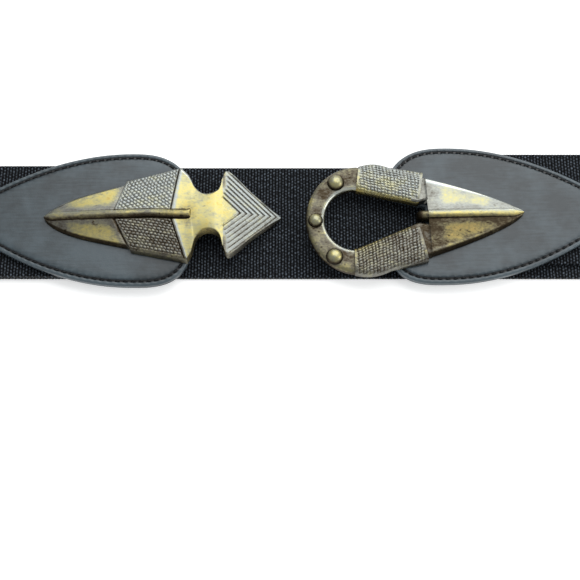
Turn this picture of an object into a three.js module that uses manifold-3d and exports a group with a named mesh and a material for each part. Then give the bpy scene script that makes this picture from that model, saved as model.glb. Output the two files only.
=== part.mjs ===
// Stretch belt lying flat and unfastened: a loop of elastic webbing, a stitched two-layer leather tab on each
// end, a cast arrow hook on the left tab and a cast keeper loop on the right one.
// Millimetres. +X runs along the belt to the right, +Y across it, +Z up from the surface that it lies on.
import * as THREE from "three";
import { mergeVertices } from "three/addons/utils/BufferGeometryUtils.js";
import Module from "manifold-3d";

const wasm = await Module();
wasm.setup();

// Elastic webbing
const WEBBING_WIDTH = 50;
const WEBBING_THICKNESS = 1.8;
const LAID_LENGTH = 372; // from fold to fold
const FOLD_HEIGHT = 11; // over the bulge that a fold keeps by itself
const WEBBING_SIDESTEP = 5.4; // the right end's front run is laid this far further back
const LAYER_GAP = 0.3; // between layers that lie on each other

// Leather tabs
const TAB_LENGTH = 101;
const LEFT_TAB_WIDTH = 59.5;
const RIGHT_TAB_WIDTH = 61;
const TAB_WIDEST = 26.5; // from the blunt end to the widest place
const TAB_FRONT_THICKNESS = 1.8;
const TAB_BACKING_THICKNESS = 1.2;
const TAB_EDGE_ROUNDING = 0.45;
const TAB_ONLY_LENGTH = 41; // the webbing stops this far short of a tab's blunt end
const FAR_BLUNT_POWER = 2.5; // squareness of the blunt end's far corner
const NEAR_BLUNT_POWER = 3.2; // and of its near one
const POINT_POWER = 0.8; // fullness of the pointed end
const LEFT_TAB_END = -39.7; // place of the blunt end along the belt
const RIGHT_TAB_END = 38.8;
const LEFT_TAB_OFFSET = -0.9; // of the blunt end, off the belt's axis
const RIGHT_TAB_OFFSET = 0.75;
const LEFT_TAB_TURN = -0.7; // degrees
const RIGHT_TAB_TURN = 1.3;
const NOTCH_DEPTH = 18; // cut-away of the right tab behind the loop's opening
const NOTCH_MOUTH_WIDTH = 21;
const NOTCH_FLOOR_WIDTH = 11;
const NOTCH_OFFSET = -2; // off the tab's axis

// Arrow hook, measured along its own axis from the tail's tip
const HOOK_BLADE_LENGTH = 28.6;
const HOOK_WRAP_LENGTH = 25.1;
const HOOK_NECK_LENGTH = 21.1; // from the wrap to the back of the barbs
const HOOK_HEAD_LENGTH = 23.9;
const HOOK_SETBACK = 9.1; // from the wrap's end to the tab's blunt end
const HOOK_TURN = 2.05; // degrees, more than the tab
const HOOK_OFFSET = 0.9; // off the tab's axis
const HOOK_BLADE_WIDTH = 28.8;
const HOOK_WRAP_START_WIDTH = 32.2;
const HOOK_WRAP_WIDTH = 42.6;
const HOOK_NECK_WIDTH = 17.4;
const HOOK_HEAD_WIDTH = 39;
const HOOK_WRAP_START_SLANT = 0.44; // how far a turn of cord leans forward for each mm outwards
const HOOK_WRAP_END_SLANT = 0.24;
const HOOK_WRAP_LEAN = 0.06; // the upper half of each turn leans forward less, the lower half more
const HOOK_CORD_TURNS = 11;
const HOOK_BEAD_SWAY = -1.1; // of the bead's end off the axis
const HOOK_NECK_THICKNESS = 3.8;
const HOOK_NECK_RISE = 1.8;
const HOOK_SLOPE_START = 0.85; // share of the neck after which the head slopes down
const HOOK_HEAD_THICKNESS = 3.6;
const HOOK_TIP_THICKNESS = 1.6;
const HEAD_EDGE_FALL = 0.3; // of the head's face towards its edges

// Keeper loop, measured along its own axis from the bow's outer edge
const BOW_LENGTH = 22.2; // from the outer edge to the bow's centre
const BOW_WIDTH = 47.8;
const ARM_LENGTH = 28.5; // from the bow's centre to the blade
const ARM_END_WIDTH = 35.4;
const LOOP_PLATE_THICKNESS = 2.8;
const LOOP_PLATE_ROUNDING = 0.4;
const OPENING_FRONT = 7.7; // metal left at the front of the bow
const OPENING_WIDTH = 26.6;
const OPENING_CENTRE = 20.4; // of the opening's round front, from the bow's outer edge
const OPENING_APEX_UPPER = 5.9; // from the axis to each arm at the narrow end of the opening
const OPENING_APEX_LOWER = 3;
const SLOT_LENGTH = 4; // of the two slots beside the ridge's nose
const SLOT_SPREAD = 0.8; // further off the axis at a slot's end
const SLOT_CORNER = 0.6; // left between a slot's end and the blade
const ARM_WRAP_BULGE = 1.3; // of the cord beyond the bow's side
const ARM_WRAP_END_WIDTH = 39.8;
const ARM_WRAP_HEIGHT = 4.2;
const ARM_WRAP_OVERHANG = 0.5; // of the cord over the arm's inner edge
const ARM_CORD_TURNS = 12;
// Places of a wrap's first and last turn behind the bow's outer edge, at its inner and outer end.
const UPPER_WRAP = { side: 1, innerStart: 21.5, outerStart: 23.4, innerEnd: 47.2, outerEnd: 50.3 };
const LOWER_WRAP = { side: -1, innerStart: 19.2, outerStart: 18.8, innerEnd: 46.2, outerEnd: 49.4 };
const LOOP_BLADE_LENGTH = 40.4;
const LOOP_BLADE_WIDTH = 35;
const LOOP_RIDGE_START = 1.1; // the ridge's height at the blade's broad end, as a share of the other blade's
const NOSE_LENGTH = 4.8; // of the ridge, in front of the blade
const LOOP_SETBACK = 18.5; // from the tab's blunt end to the blade
const LOOP_TURN = 1.5; // degrees, more than the tab
const LOOP_OFFSET = -3.1; // off the tab's axis
const RIVET_DIAMETER = 6.2;
const RIVET_HEIGHT = 2.2;
const NOSE_RIVET_DIAMETER = 5.3;
// Places of the rivets behind the bow's outer edge and off the axis.
const RIVETS = [
  { along: 13.3, off: 16.6, diameter: RIVET_DIAMETER },
  { along: 3.9, off: 0, diameter: NOSE_RIVET_DIAMETER },
  { along: 10.8, off: -16.1, diameter: RIVET_DIAMETER },
];

// Both castings
const BLADE_EDGE_HEIGHT = 2.6;
const BLADE_RIDGE_HEIGHT = 4.1;
const WRAP_EDGE_HEIGHT = 3.6;
const WRAP_RIDGE_HEIGHT = 4.7;
const BEAD_WIDTH = 3.6;
const BEAD_RISE = 1.3; // over the ridge
const WALL_FLARE = 0.7; // the side walls lean in by this much
const CORD_RELIEF = 0.45; // between the crest and the valley of the bound cord
const CHEVRONS = 6;
const CHEVRON_PITCH = 2.75; // along the head
const CHEVRON_WIDTH = 1.3; // along the head
const CHEVRON_RELIEF = 0.45;
const CHEVRON_SETBACK = 1.6; // of the first chevron from the tip
const SUNK = 0.5; // how deep a raised detail is rooted in the body below it

// Studs that hold the castings through the tabs
const STUD_DIAMETER = 3;
const STUD_HEAD_DIAMETER = 8;
const STUD_HEAD_THICKNESS = 1.5;
const STUD_CLEARANCE = 0.3;
const STUD_SOCKET_DEPTH = 1.4;
const HOOK_STUD_INSETS = [10, 27]; // from the tab's blunt end
const LOOP_STUD_INSETS = [23.5, 35.5];

// Levels above the surface, from the back run upwards
const FRONT_RUN_Z = WEBBING_THICKNESS + LAYER_GAP;
const BACKING_Z = FRONT_RUN_Z + WEBBING_THICKNESS + LAYER_GAP;
const TAB_FRONT_Z = BACKING_Z + TAB_BACKING_THICKNESS + LAYER_GAP;
const CASTING_Z = TAB_FRONT_Z + TAB_FRONT_THICKNESS + LAYER_GAP;

const elastic = new THREE.MeshStandardMaterial({ color: 0x15161a, roughness: 0.85, metalness: 0 });
const leather = new THREE.MeshStandardMaterial({ color: 0x565c64, roughness: 0.5, metalness: 0 });
const backingLeather = new THREE.MeshStandardMaterial({ color: 0x43474d, roughness: 0.7, metalness: 0 });
const antiqueBrass = new THREE.MeshStandardMaterial({ color: 0xa89b62, roughness: 0.4, metalness: 0.9 });
const studBrass = new THREE.MeshStandardMaterial({ color: 0x8d8458, roughness: 0.45, metalness: 0.9 });

const { lerp, smoothstep } = THREE.MathUtils;
const radians = THREE.MathUtils.degToRad;

// Geometry helpers

function closed(geometry) {
  geometry.deleteAttribute("normal");
  geometry.deleteAttribute("uv");
  return mergeVertices(geometry, 1e-4);
}

function toSolid(geometry) {
  const merged = closed(geometry);
  return new wasm.Manifold(
    new wasm.Mesh({
      numProp: 3,
      vertProperties: new Float32Array(merged.attributes.position.array),
      triVerts: new Uint32Array(merged.index.array),
    }),
  );
}

function toGeometry(solid) {
  const mesh = solid.getMesh();
  const geometry = new THREE.BufferGeometry();
  geometry.setAttribute("position", new THREE.BufferAttribute(mesh.vertProperties, 3));
  geometry.setIndex(new THREE.BufferAttribute(mesh.triVerts, 1));
  return geometry;
}

function joined(geometries) {
  return geometries.map(toSolid).reduce((whole, solid) => whole.add(solid));
}

function piece(name, geometry, material, z = 0) {
  geometry.computeVertexNormals();
  const mesh = new THREE.Mesh(geometry, material);
  mesh.name = name;
  mesh.position.z = z;
  return mesh;
}

function shapeOf(points) {
  return new THREE.Shape(points.map(([x, y]) => new THREE.Vector2(x, y)));
}

// A plate of the shape standing on z = 0, with its edges rounded by one facet.
function plate(shape, thickness, rounding) {
  const geometry = new THREE.ExtrudeGeometry(shape, {
    depth: thickness - 2 * rounding,
    bevelThickness: rounding,
    bevelSize: rounding,
    bevelOffset: -rounding,
    bevelSegments: 1,
    curveSegments: 12,
  });
  return geometry.translate(0, 0, rounding);
}

function middleOf(ring) {
  const sum = ring.reduce((total, point) => total.map((value, axis) => value + point[axis]), [0, 0, 0]);
  return sum.map((value) => value / ring.length);
}

// A closed solid through rings of equal length, each end closed by a fan from its middle.
function loft(rings) {
  const count = rings[0].length;
  const last = (rings.length - 1) * count;
  const firstMiddle = rings.length * count;
  const triangles = [];
  for (let p = 0; p < count; p += 1) {
    const next = (p + 1) % count;
    for (let start = 0; start < last; start += count) {
      triangles.push([start + p, start + next, start + next + count]);
      triangles.push([start + p, start + next + count, start + p + count]);
    }
    triangles.push([next, p, firstMiddle], [last + p, last + next, firstMiddle + 1]);
  }
  const points = [...rings.flat(), middleOf(rings[0]), middleOf(rings.at(-1))];
  const corners = points.map((point) => new THREE.Vector3(...point));
  const volume = triangles.reduce((sum, [a, b, c]) => {
    return sum + corners[a].dot(corners[b].clone().cross(corners[c]));
  }, 0);
  const outward = volume > 0 ? triangles : triangles.map((triangle) => [...triangle].reverse());
  const geometry = new THREE.BufferGeometry().setFromPoints(corners);
  geometry.setIndex(outward.flat());
  return geometry;
}

function cylinder(diameter, bottom, top, sides = 16) {
  const geometry = new THREE.CylinderGeometry(diameter / 2, diameter / 2, top - bottom, sides);
  return geometry.rotateX(Math.PI / 2).translate(0, 0, (top + bottom) / 2);
}

// Webbing

// Places along one half of the webbing's side profile, from the middle of the back run round the fold to the
// tab: each has the strip's outer and inner face, and how far the strip lies off the belt's axis. The front
// run comes down from the fold until it meets the tab's point.
function halfProfile(tabX, sidestep) {
  const radius = FOLD_HEIGHT / 2;
  const innerRadius = radius - WEBBING_THICKNESS;
  const foldX = LAID_LENGTH / 2 - radius;
  const pointX = tabX + TAB_LENGTH - TAB_ONLY_LENGTH;
  const descent = foldX - pointX;
  const foldSteps = 8;
  const runSteps = 8;
  const places = [{ outer: [0, 0], inner: [0, WEBBING_THICKNESS], off: 0 }];
  for (let i = 0; i <= foldSteps; i += 1) {
    const angle = Math.PI * (i / foldSteps - 0.5);
    const across = Math.cos(angle);
    const up = Math.sin(angle);
    places.push({
      outer: [foldX + radius * across, radius + radius * up],
      inner: [foldX + innerRadius * across, radius + innerRadius * up],
      off: 0,
    });
  }
  for (let i = 1; i <= runSteps; i += 1) {
    const settled = smoothstep(i / runSteps, 0, 1);
    const z = lerp(FOLD_HEIGHT - WEBBING_THICKNESS, FRONT_RUN_Z, settled);
    const x = foldX - (descent * i) / runSteps;
    const off = sidestep * settled;
    places.push({ outer: [x, z + WEBBING_THICKNESS], inner: [x, z], off });
  }
  places.push({ outer: [tabX, FRONT_RUN_Z + WEBBING_THICKNESS], inner: [tabX, FRONT_RUN_Z], off: sidestep });
  return places;
}

function webbing() {
  const right = halfProfile(RIGHT_TAB_END + TAB_ONLY_LENGTH, WEBBING_SIDESTEP);
  const left = halfProfile(TAB_ONLY_LENGTH - LEFT_TAB_END, 0).map(({ outer, inner, off }) => ({
    outer: [-outer[0], outer[1]],
    inner: [-inner[0], inner[1]],
    off,
  }));
  const strip = [...left.reverse(), ...right.slice(1)];
  const half = WEBBING_WIDTH / 2;
  return loft(
    strip.map(({ outer, inner, off }) => [
      [outer[0], off - half, outer[1]],
      [outer[0], off + half, outer[1]],
      [inner[0], off + half, inner[1]],
      [inner[0], off - half, inner[1]],
    ]),
  );
}

// Leather tabs, in a frame that starts at the blunt end and runs along +X to the point

function tabHalfWidth(along, width, bluntPower) {
  const half = width / 2;
  if (along < TAB_WIDEST) {
    const back = 1 - along / TAB_WIDEST;
    return half * (1 - back ** bluntPower) ** (1 / bluntPower);
  }
  const share = Math.min((along - TAB_WIDEST) / (TAB_LENGTH - TAB_WIDEST), 1);
  return half * Math.max(Math.cos((share * Math.PI) / 2), 0) ** POINT_POWER;
}

// Shares of the way from the blunt end to the widest place, and from there to the point.
const BLUNT_SHARES = [0.012, 0.04, 0.1, 0.19, 0.32, 0.5, 0.72];
const POINT_SHARES = [0, 0.12, 0.25, 0.38, 0.5, 0.62, 0.73, 0.83, 0.91, 0.965, 0.992];

function tabOutline(width, notched, upperPower, lowerPower) {
  const places = [
    ...BLUNT_SHARES.map((share) => share * TAB_WIDEST),
    ...POINT_SHARES.map((share) => lerp(TAB_WIDEST, TAB_LENGTH, share)),
  ];
  const upper = places.map((along) => [along, tabHalfWidth(along, width, upperPower)]);
  const lower = places.map((along) => [along, -tabHalfWidth(along, width, lowerPower)]).reverse();
  if (!notched) {
    return [[0, 0], ...upper, [TAB_LENGTH, 0], ...lower];
  }
  const notch = [
    [0, NOTCH_OFFSET - NOTCH_MOUTH_WIDTH / 2],
    [NOTCH_DEPTH, NOTCH_OFFSET - NOTCH_FLOOR_WIDTH / 2],
    [NOTCH_DEPTH, NOTCH_OFFSET + NOTCH_FLOOR_WIDTH / 2],
    [0, NOTCH_OFFSET + NOTCH_MOUTH_WIDTH / 2],
  ];
  return [...notch, ...upper.slice(1), [TAB_LENGTH, 0], ...lower.slice(0, -1)];
}

// One layer of a tab, with a hole for each stud.
function tabLayer(thickness, outline, studPlaces) {
  const shape = shapeOf(outline);
  studPlaces.forEach(([x, y]) => {
    shape.holes.push(new THREE.Path().absarc(x, y, STUD_DIAMETER / 2 + STUD_CLEARANCE, 0, 2 * Math.PI));
  });
  return closed(plate(shape, thickness, TAB_EDGE_ROUNDING));
}

// Castings

// One section of a casting: a flat base, flared walls, and a roof that rises to a round bead.
function castingSection(section) {
  const { x, slant = 0, lean = 0, half, edge, crown = 0, ridge, bead = 0, sway = 0, lift = 0 } = section;
  const beadHalf = Math.min(BEAD_WIDTH / 2, half * 0.45);
  const wall = Math.max(half - WALL_FLARE, half * 0.8);
  const right = [
    [half, 0],
    [wall, edge],
    [lerp(wall, beadHalf, 0.5), lerp(edge, ridge, 0.5) + crown],
    [beadHalf, ridge],
    [beadHalf * 0.7, ridge + bead * 0.7],
  ];
  const left = right.map(([y, z]) => [-y, z]).reverse();
  const points = [...right, [0, ridge + bead], ...left];
  return points.map(([y, z]) => {
    return [x + slant * Math.abs(y) - lean * y, y + sway * (1 - Math.abs(y) / half), z + lift];
  });
}

const HOOK_WRAP_END = HOOK_BLADE_LENGTH + HOOK_WRAP_LENGTH;
const HOOK_BARBS = HOOK_WRAP_END + HOOK_NECK_LENGTH;
const HOOK_LENGTH = HOOK_BARBS + HOOK_HEAD_LENGTH;

function hookBlade() {
  const shares = [0.008, 0.05, 0.13, 0.25, 0.4, 0.6, 0.8, 0.99];
  return shares.map((share) =>
    castingSection({
      x: share * HOOK_BLADE_LENGTH,
      slant: HOOK_WRAP_START_SLANT * smoothstep(share, 0.2, 1),
      lean: HOOK_WRAP_LEAN * smoothstep(share, 0.2, 1),
      half: (HOOK_BLADE_WIDTH / 2) * share ** 0.6,
      edge: BLADE_EDGE_HEIGHT * (0.6 + 0.4 * share),
      ridge: BLADE_RIDGE_HEIGHT * (0.4 + 0.6 * share ** 0.5),
      bead: BEAD_RISE * (0.4 + 0.4 * share),
    }),
  );
}

// The bead bends off the axis from the middle of the bound cord to its end in the neck.
function hookSway(x) {
  const bend = smoothstep(x, HOOK_WRAP_END - HOOK_WRAP_LENGTH / 2, HOOK_WRAP_END + HOOK_NECK_LENGTH / 3);
  return HOOK_BEAD_SWAY * bend;
}

// The bound cord of the hook: a valley and a crest for each turn.
function hookWrap() {
  const steps = 2 * HOOK_CORD_TURNS;
  return Array.from({ length: steps + 1 }, (_, i) => {
    const share = i / steps;
    const crest = i % 2 ? CORD_RELIEF : 0;
    const x = HOOK_BLADE_LENGTH + share * HOOK_WRAP_LENGTH;
    return castingSection({
      x,
      slant: lerp(HOOK_WRAP_START_SLANT, HOOK_WRAP_END_SLANT, share),
      lean: HOOK_WRAP_LEAN,
      half: lerp(HOOK_WRAP_START_WIDTH, HOOK_WRAP_WIDTH, share) / 2 - CORD_RELIEF + crest,
      edge: lerp(BLADE_EDGE_HEIGHT, WRAP_EDGE_HEIGHT, 0.4 + 0.6 * share) - CORD_RELIEF + crest,
      crown: 0.4,
      ridge: lerp(BLADE_RIDGE_HEIGHT, WRAP_RIDGE_HEIGHT, share),
      bead: BEAD_RISE,
      sway: hookSway(x),
    });
  });
}

// Shares along the neck, lean of the section, half width between the neck's and the wrap's, and bead.
const NECK_SECTIONS = [
  { along: 0.015, slant: 0.22, width: 0.98, bead: 1 },
  { along: 0.12, slant: 0.19, width: 0.85, bead: 1 },
  { along: 0.23, slant: 0.15, width: 0.7, bead: 1 },
  { along: 0.33, slant: 0.1, width: 0.49, bead: 0.9 },
  { along: 0.39, slant: 0.07, width: 0.33, bead: 0.05 },
  { along: 0.45, slant: 0.04, width: 0.22, bead: 0 },
  { along: 0.53, slant: 0.01, width: 0.1, bead: 0 },
  { along: 0.61, slant: 0, width: 0.03, bead: 0 },
  { along: 0.7, slant: 0, width: 0, bead: 0 },
  { along: 0.79, slant: 0, width: 0.03, bead: 0 },
  { along: 0.88, slant: 0, width: 0.11, bead: 0 },
  { along: 0.94, slant: 0, width: 0.25, bead: 0 },
  { along: 0.975, slant: 0, width: 0.48, bead: 0 },
  { along: 1, slant: 0, width: 0.7, bead: 0 },
];

// The underside lifts off the tab at the neck, then slopes down until the tip lies just over the back run.
function hookLift(x) {
  const alongNeck = (x - HOOK_WRAP_END) / HOOK_NECK_LENGTH;
  const rise = HOOK_NECK_RISE * smoothstep(alongNeck, 0.2, 0.6);
  const slopeStart = HOOK_WRAP_END + HOOK_SLOPE_START * HOOK_NECK_LENGTH;
  const tipLift = WEBBING_THICKNESS + LAYER_GAP - CASTING_Z;
  const share = Math.max((x - slopeStart) / (HOOK_LENGTH - slopeStart), 0);
  return lerp(rise, tipLift, share);
}

function hookNeck() {
  return NECK_SECTIONS.map(({ along, slant, width, bead }) => {
    const x = HOOK_WRAP_END + along * HOOK_NECK_LENGTH;
    const towardsNeck = smoothstep(along, 0, 0.6);
    return castingSection({
      x,
      slant,
      lean: (HOOK_WRAP_LEAN * slant) / HOOK_WRAP_END_SLANT,
      half: lerp(HOOK_NECK_WIDTH, HOOK_WRAP_WIDTH, width) / 2,
      edge: lerp(WRAP_EDGE_HEIGHT, HOOK_NECK_THICKNESS, towardsNeck) - CORD_RELIEF,
      ridge: lerp(WRAP_RIDGE_HEIGHT, HOOK_NECK_THICKNESS, towardsNeck),
      bead: bead * BEAD_RISE,
      sway: hookSway(x) * bead,
      lift: hookLift(x),
    });
  });
}

function headThickness(x) {
  return lerp(HOOK_HEAD_THICKNESS, HOOK_TIP_THICKNESS, Math.max((x - HOOK_BARBS) / HOOK_HEAD_LENGTH, 0));
}

// The barbs' rounded corners, and the straight edges to the tip, in shares of the head.
const HEAD_SECTIONS = [
  { along: 0.03, width: 0.93 },
  { along: 0.07, width: 0.99 },
  { along: 0.12, width: 0.98 },
  { along: 0.5, width: 0.545 },
  { along: 0.97, width: 0.055 },
  { along: 1, width: 0.015 },
];

function hookHead() {
  return HEAD_SECTIONS.map(({ along, width }) => {
    const x = HOOK_BARBS + along * HOOK_HEAD_LENGTH;
    return castingSection({
      x,
      half: (width * HOOK_HEAD_WIDTH) / 2,
      edge: headThickness(x) - HEAD_EDGE_FALL,
      ridge: headThickness(x),
      lift: hookLift(x),
    });
  });
}

// Raised chevrons that lie parallel to the head's two edges.
function chevron(number) {
  const spread = HOOK_HEAD_WIDTH / 2 / (0.9 * HOOK_HEAD_LENGTH);
  const apex = HOOK_LENGTH - CHEVRON_SETBACK - number * CHEVRON_PITCH;
  const back = HOOK_BARBS + 0.06 * HOOK_HEAD_LENGTH;
  const arm = (tip) => (tip - back) * spread;
  const inner = apex - CHEVRON_WIDTH;
  const shape = shapeOf([
    [apex, 0],
    [back, arm(apex)],
    [back, arm(inner)],
    [inner, 0],
    [back, -arm(inner)],
    [back, -arm(apex)],
  ]);
  const geometry = new THREE.ExtrudeGeometry(shape, { depth: SUNK + CHEVRON_RELIEF, bevelEnabled: false });
  const position = geometry.attributes.position;
  for (let i = 0; i < position.count; i += 1) {
    const x = position.getX(i);
    position.setZ(i, position.getZ(i) - SUNK + hookLift(x) + headThickness(x));
  }
  return geometry;
}

function arrowHook(studPlaces) {
  const body = loft([...hookBlade(), ...hookWrap(), ...hookNeck(), ...hookHead()]);
  const chevrons = Array.from({ length: CHEVRONS }, (_, i) => chevron(i));
  return withSockets(joined([body, ...chevrons]), studPlaces);
}

const ARM_END = BOW_LENGTH + ARM_LENGTH;
const BOW_STEPS = 18;

// Points round the front of an ellipse from its upper to its lower end, without the two ends.
function frontArc(centreX, length, halfWidth, steps) {
  return Array.from({ length: steps - 1 }, (_, i) => {
    const angle = Math.PI * (0.5 + (i + 1) / steps);
    return [centreX + length * Math.cos(angle), halfWidth * Math.sin(angle)];
  });
}

function mirrored(points) {
  return points.map(([x, y]) => [x, -y]).reverse();
}

// The bow and the two arms, cut from one plate with the opening through it.
function loopPlate() {
  const back = [
    [ARM_END + SUNK, ARM_END_WIDTH / 2],
    [ARM_END, ARM_END_WIDTH / 2],
    [BOW_LENGTH, BOW_WIDTH / 2],
  ];
  const bow = frontArc(BOW_LENGTH, BOW_LENGTH, BOW_WIDTH / 2, BOW_STEPS);
  const shape = shapeOf([...back, ...bow, ...mirrored(back)]);
  const inner = (apex) => [
    [ARM_END - SLOT_CORNER, apex + SLOT_SPREAD],
    [ARM_END - SLOT_LENGTH, apex],
    [OPENING_CENTRE, OPENING_WIDTH / 2],
  ];
  const front = frontArc(OPENING_CENTRE, OPENING_CENTRE - OPENING_FRONT, OPENING_WIDTH / 2, BOW_STEPS);
  const hole = [...inner(OPENING_APEX_UPPER), ...front, ...mirrored(inner(OPENING_APEX_LOWER))];
  shape.holes.push(new THREE.Path(hole.map(([x, y]) => new THREE.Vector2(x, y))));
  return plate(shape, LOOP_PLATE_THICKNESS, LOOP_PLATE_ROUNDING);
}

// How far the opening's edge lies off the axis at a place along an arm.
function openingEdge(x, apex) {
  const share = (x - OPENING_CENTRE) / (ARM_END - SLOT_LENGTH - OPENING_CENTRE);
  return lerp(OPENING_WIDTH / 2, apex, Math.min(Math.max(share, 0), 1));
}

// Shares of a wrap's width, from the opening outwards, and of its height.
const ARM_WRAP_PROFILE = [
  { across: 0, up: 0 },
  { across: 0, up: 0.55 },
  { across: 0.12, up: 0.84 },
  { across: 0.38, up: 1 },
  { across: 0.65, up: 1 },
  { across: 0.9, up: 0.84 },
  { across: 1, up: 0.55 },
  { across: 1, up: 0 },
];

// Cord bound round one arm.
function armWrap({ side, innerStart, outerStart, innerEnd, outerEnd }, apex) {
  const steps = 2 * ARM_CORD_TURNS;
  const rings = Array.from({ length: steps + 1 }, (_, i) => {
    const share = i / steps;
    const crest = i % 2 ? CORD_RELIEF : 0;
    const innerX = lerp(innerStart, innerEnd, share);
    const outerX = lerp(outerStart, outerEnd, share);
    const innerY = openingEdge(innerX, apex) - ARM_WRAP_OVERHANG;
    const bulge = Math.sin(Math.PI * Math.min(share / 0.5, 1)) * ARM_WRAP_BULGE;
    const outerY = lerp(BOW_WIDTH, ARM_WRAP_END_WIDTH, share ** 1.6) / 2 + bulge + crest / 2;
    return ARM_WRAP_PROFILE.map(({ across, up }) => {
      const y = side * lerp(innerY, outerY, across);
      const z = up * (ARM_WRAP_HEIGHT - CORD_RELIEF) + (up > 0 ? crest : 0);
      return [lerp(innerX, outerX, across), y, z];
    });
  });
  return loft(rings);
}

// A domed rivet head rooted in the plate.
function rivet(x, y, diameter) {
  const steps = 4;
  const radius = diameter / 2;
  const root = LOOP_PLATE_THICKNESS - SUNK;
  const top = LOOP_PLATE_THICKNESS + RIVET_HEIGHT;
  const dome = Array.from({ length: steps }, (_, i) => {
    const angle = (Math.PI / 2) * (i / steps);
    return [radius * Math.cos(angle), LOOP_PLATE_THICKNESS + RIVET_HEIGHT * Math.sin(angle)];
  });
  const profile = [[0, root], [radius, root], ...dome, [0, top]].map(([r, z]) => new THREE.Vector2(r, z));
  return new THREE.LatheGeometry(profile, 14).rotateX(Math.PI / 2).translate(x, y, 0);
}

function loopBlade() {
  const shares = [0, 0.2, 0.42, 0.62, 0.78, 0.9, 0.97, 0.998];
  return loft(
    shares.map((share) =>
      castingSection({
        x: ARM_END + share * LOOP_BLADE_LENGTH,
        half: (LOOP_BLADE_WIDTH / 2) * (1 - share) ** 0.68,
        edge: BLADE_EDGE_HEIGHT * (1.35 - 0.7 * share),
        ridge: BLADE_RIDGE_HEIGHT * (LOOP_RIDGE_START - 0.7 * share ** 1.5),
        bead: BEAD_RISE * (1 - 0.6 * share),
      }),
    ),
  );
}

// Sections of the ridge's nose behind its front: how far along, how much lower, and how wide.
const NOSE_SECTIONS = [
  { along: 0, drop: 1.6, width: 0.7 },
  { along: 0.6, drop: 0.6, width: 0.95 },
  { along: 1.6, drop: 0, width: 1 },
  { along: NOSE_LENGTH + SUNK, drop: 0, width: 1 },
];

// The nose stands into the apex of the opening between the two slots.
function ridgeNose() {
  const top = BLADE_RIDGE_HEIGHT * LOOP_RIDGE_START + BEAD_RISE;
  return loft(
    NOSE_SECTIONS.map(({ along, drop, width }) => {
      const x = ARM_END - NOSE_LENGTH + along;
      const half = (BEAD_WIDTH / 2) * width;
      return [
        [x, half, 0],
        [x, half, top - 1 - drop],
        [x, half * 0.6, top - 0.3 - drop],
        [x, -half * 0.6, top - 0.3 - drop],
        [x, -half, top - 1 - drop],
        [x, -half, 0],
      ];
    }),
  );
}

function keeperLoop(studPlaces) {
  const solids = [
    loopPlate(),
    armWrap(UPPER_WRAP, OPENING_APEX_UPPER),
    armWrap(LOWER_WRAP, OPENING_APEX_LOWER),
    loopBlade(),
    ridgeNose(),
    ...RIVETS.map(({ along, off, diameter }) => rivet(along, off, diameter)),
  ];
  return withSockets(joined(solids), studPlaces);
}

// Blind holes in a casting's base for the studs.
function withSockets(solid, studPlaces) {
  const cut = studPlaces.map((x) =>
    toSolid(cylinder(STUD_DIAMETER + 2 * STUD_CLEARANCE, -1, STUD_SOCKET_DEPTH).translate(x, 0, 0)),
  );
  return toGeometry(cut.reduce((left, hole) => left.subtract(hole), solid));
}

function stud() {
  const headTop = BACKING_Z - LAYER_GAP - CASTING_Z;
  const headBottom = headTop - STUD_HEAD_THICKNESS;
  const shankTop = STUD_SOCKET_DEPTH - STUD_CLEARANCE;
  const profile = [
    [0, headBottom],
    [STUD_HEAD_DIAMETER / 2, headBottom],
    [STUD_HEAD_DIAMETER / 2, headTop],
    [STUD_DIAMETER / 2, headTop],
    [STUD_DIAMETER / 2, shankTop],
    [0, shankTop],
  ].map(([r, z]) => new THREE.Vector2(r, z));
  return closed(new THREE.LatheGeometry(profile, 16).rotateX(Math.PI / 2));
}

// Assembly

const TAB_LAYERS = [
  { name: "_tab_backing", thickness: TAB_BACKING_THICKNESS, z: BACKING_Z, material: backingLeather },
  { name: "_tab_front", thickness: TAB_FRONT_THICKNESS, z: TAB_FRONT_Z, material: leather },
];

// A belt end: the tab's frame holds its two layers and, turned a little, the casting's frame with its studs.
function beltEnd({ side, turn, place, outline, seat, offset, castingTurn, castingForward, casting, studs }) {
  const end = new THREE.Group();
  end.position.set(place[0], place[1], 0);
  end.rotation.z = turn;
  const castingFrame = new THREE.Group();
  castingFrame.position.set(seat, offset, CASTING_Z);
  castingFrame.rotation.z = castingTurn + (castingForward ? 0 : Math.PI);
  const direction = castingForward ? 1 : -1;
  const onTab = studs.map(({ inset }) => {
    const reach = inset - seat;
    return [seat + reach * Math.cos(castingTurn), offset + reach * Math.sin(castingTurn)];
  });
  const onCasting = studs.map(({ inset }) => direction * (inset - seat));
  TAB_LAYERS.forEach(({ name, thickness, z, material }) => {
    end.add(piece(side + name, tabLayer(thickness, outline, onTab), material, z));
  });
  castingFrame.add(piece(casting.name, casting.build(onCasting), antiqueBrass));
  studs.forEach(({ name }, i) => {
    const mesh = piece(name, stud(), studBrass);
    mesh.position.x = onCasting[i];
    castingFrame.add(mesh);
  });
  end.add(castingFrame);
  return end;
}

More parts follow.
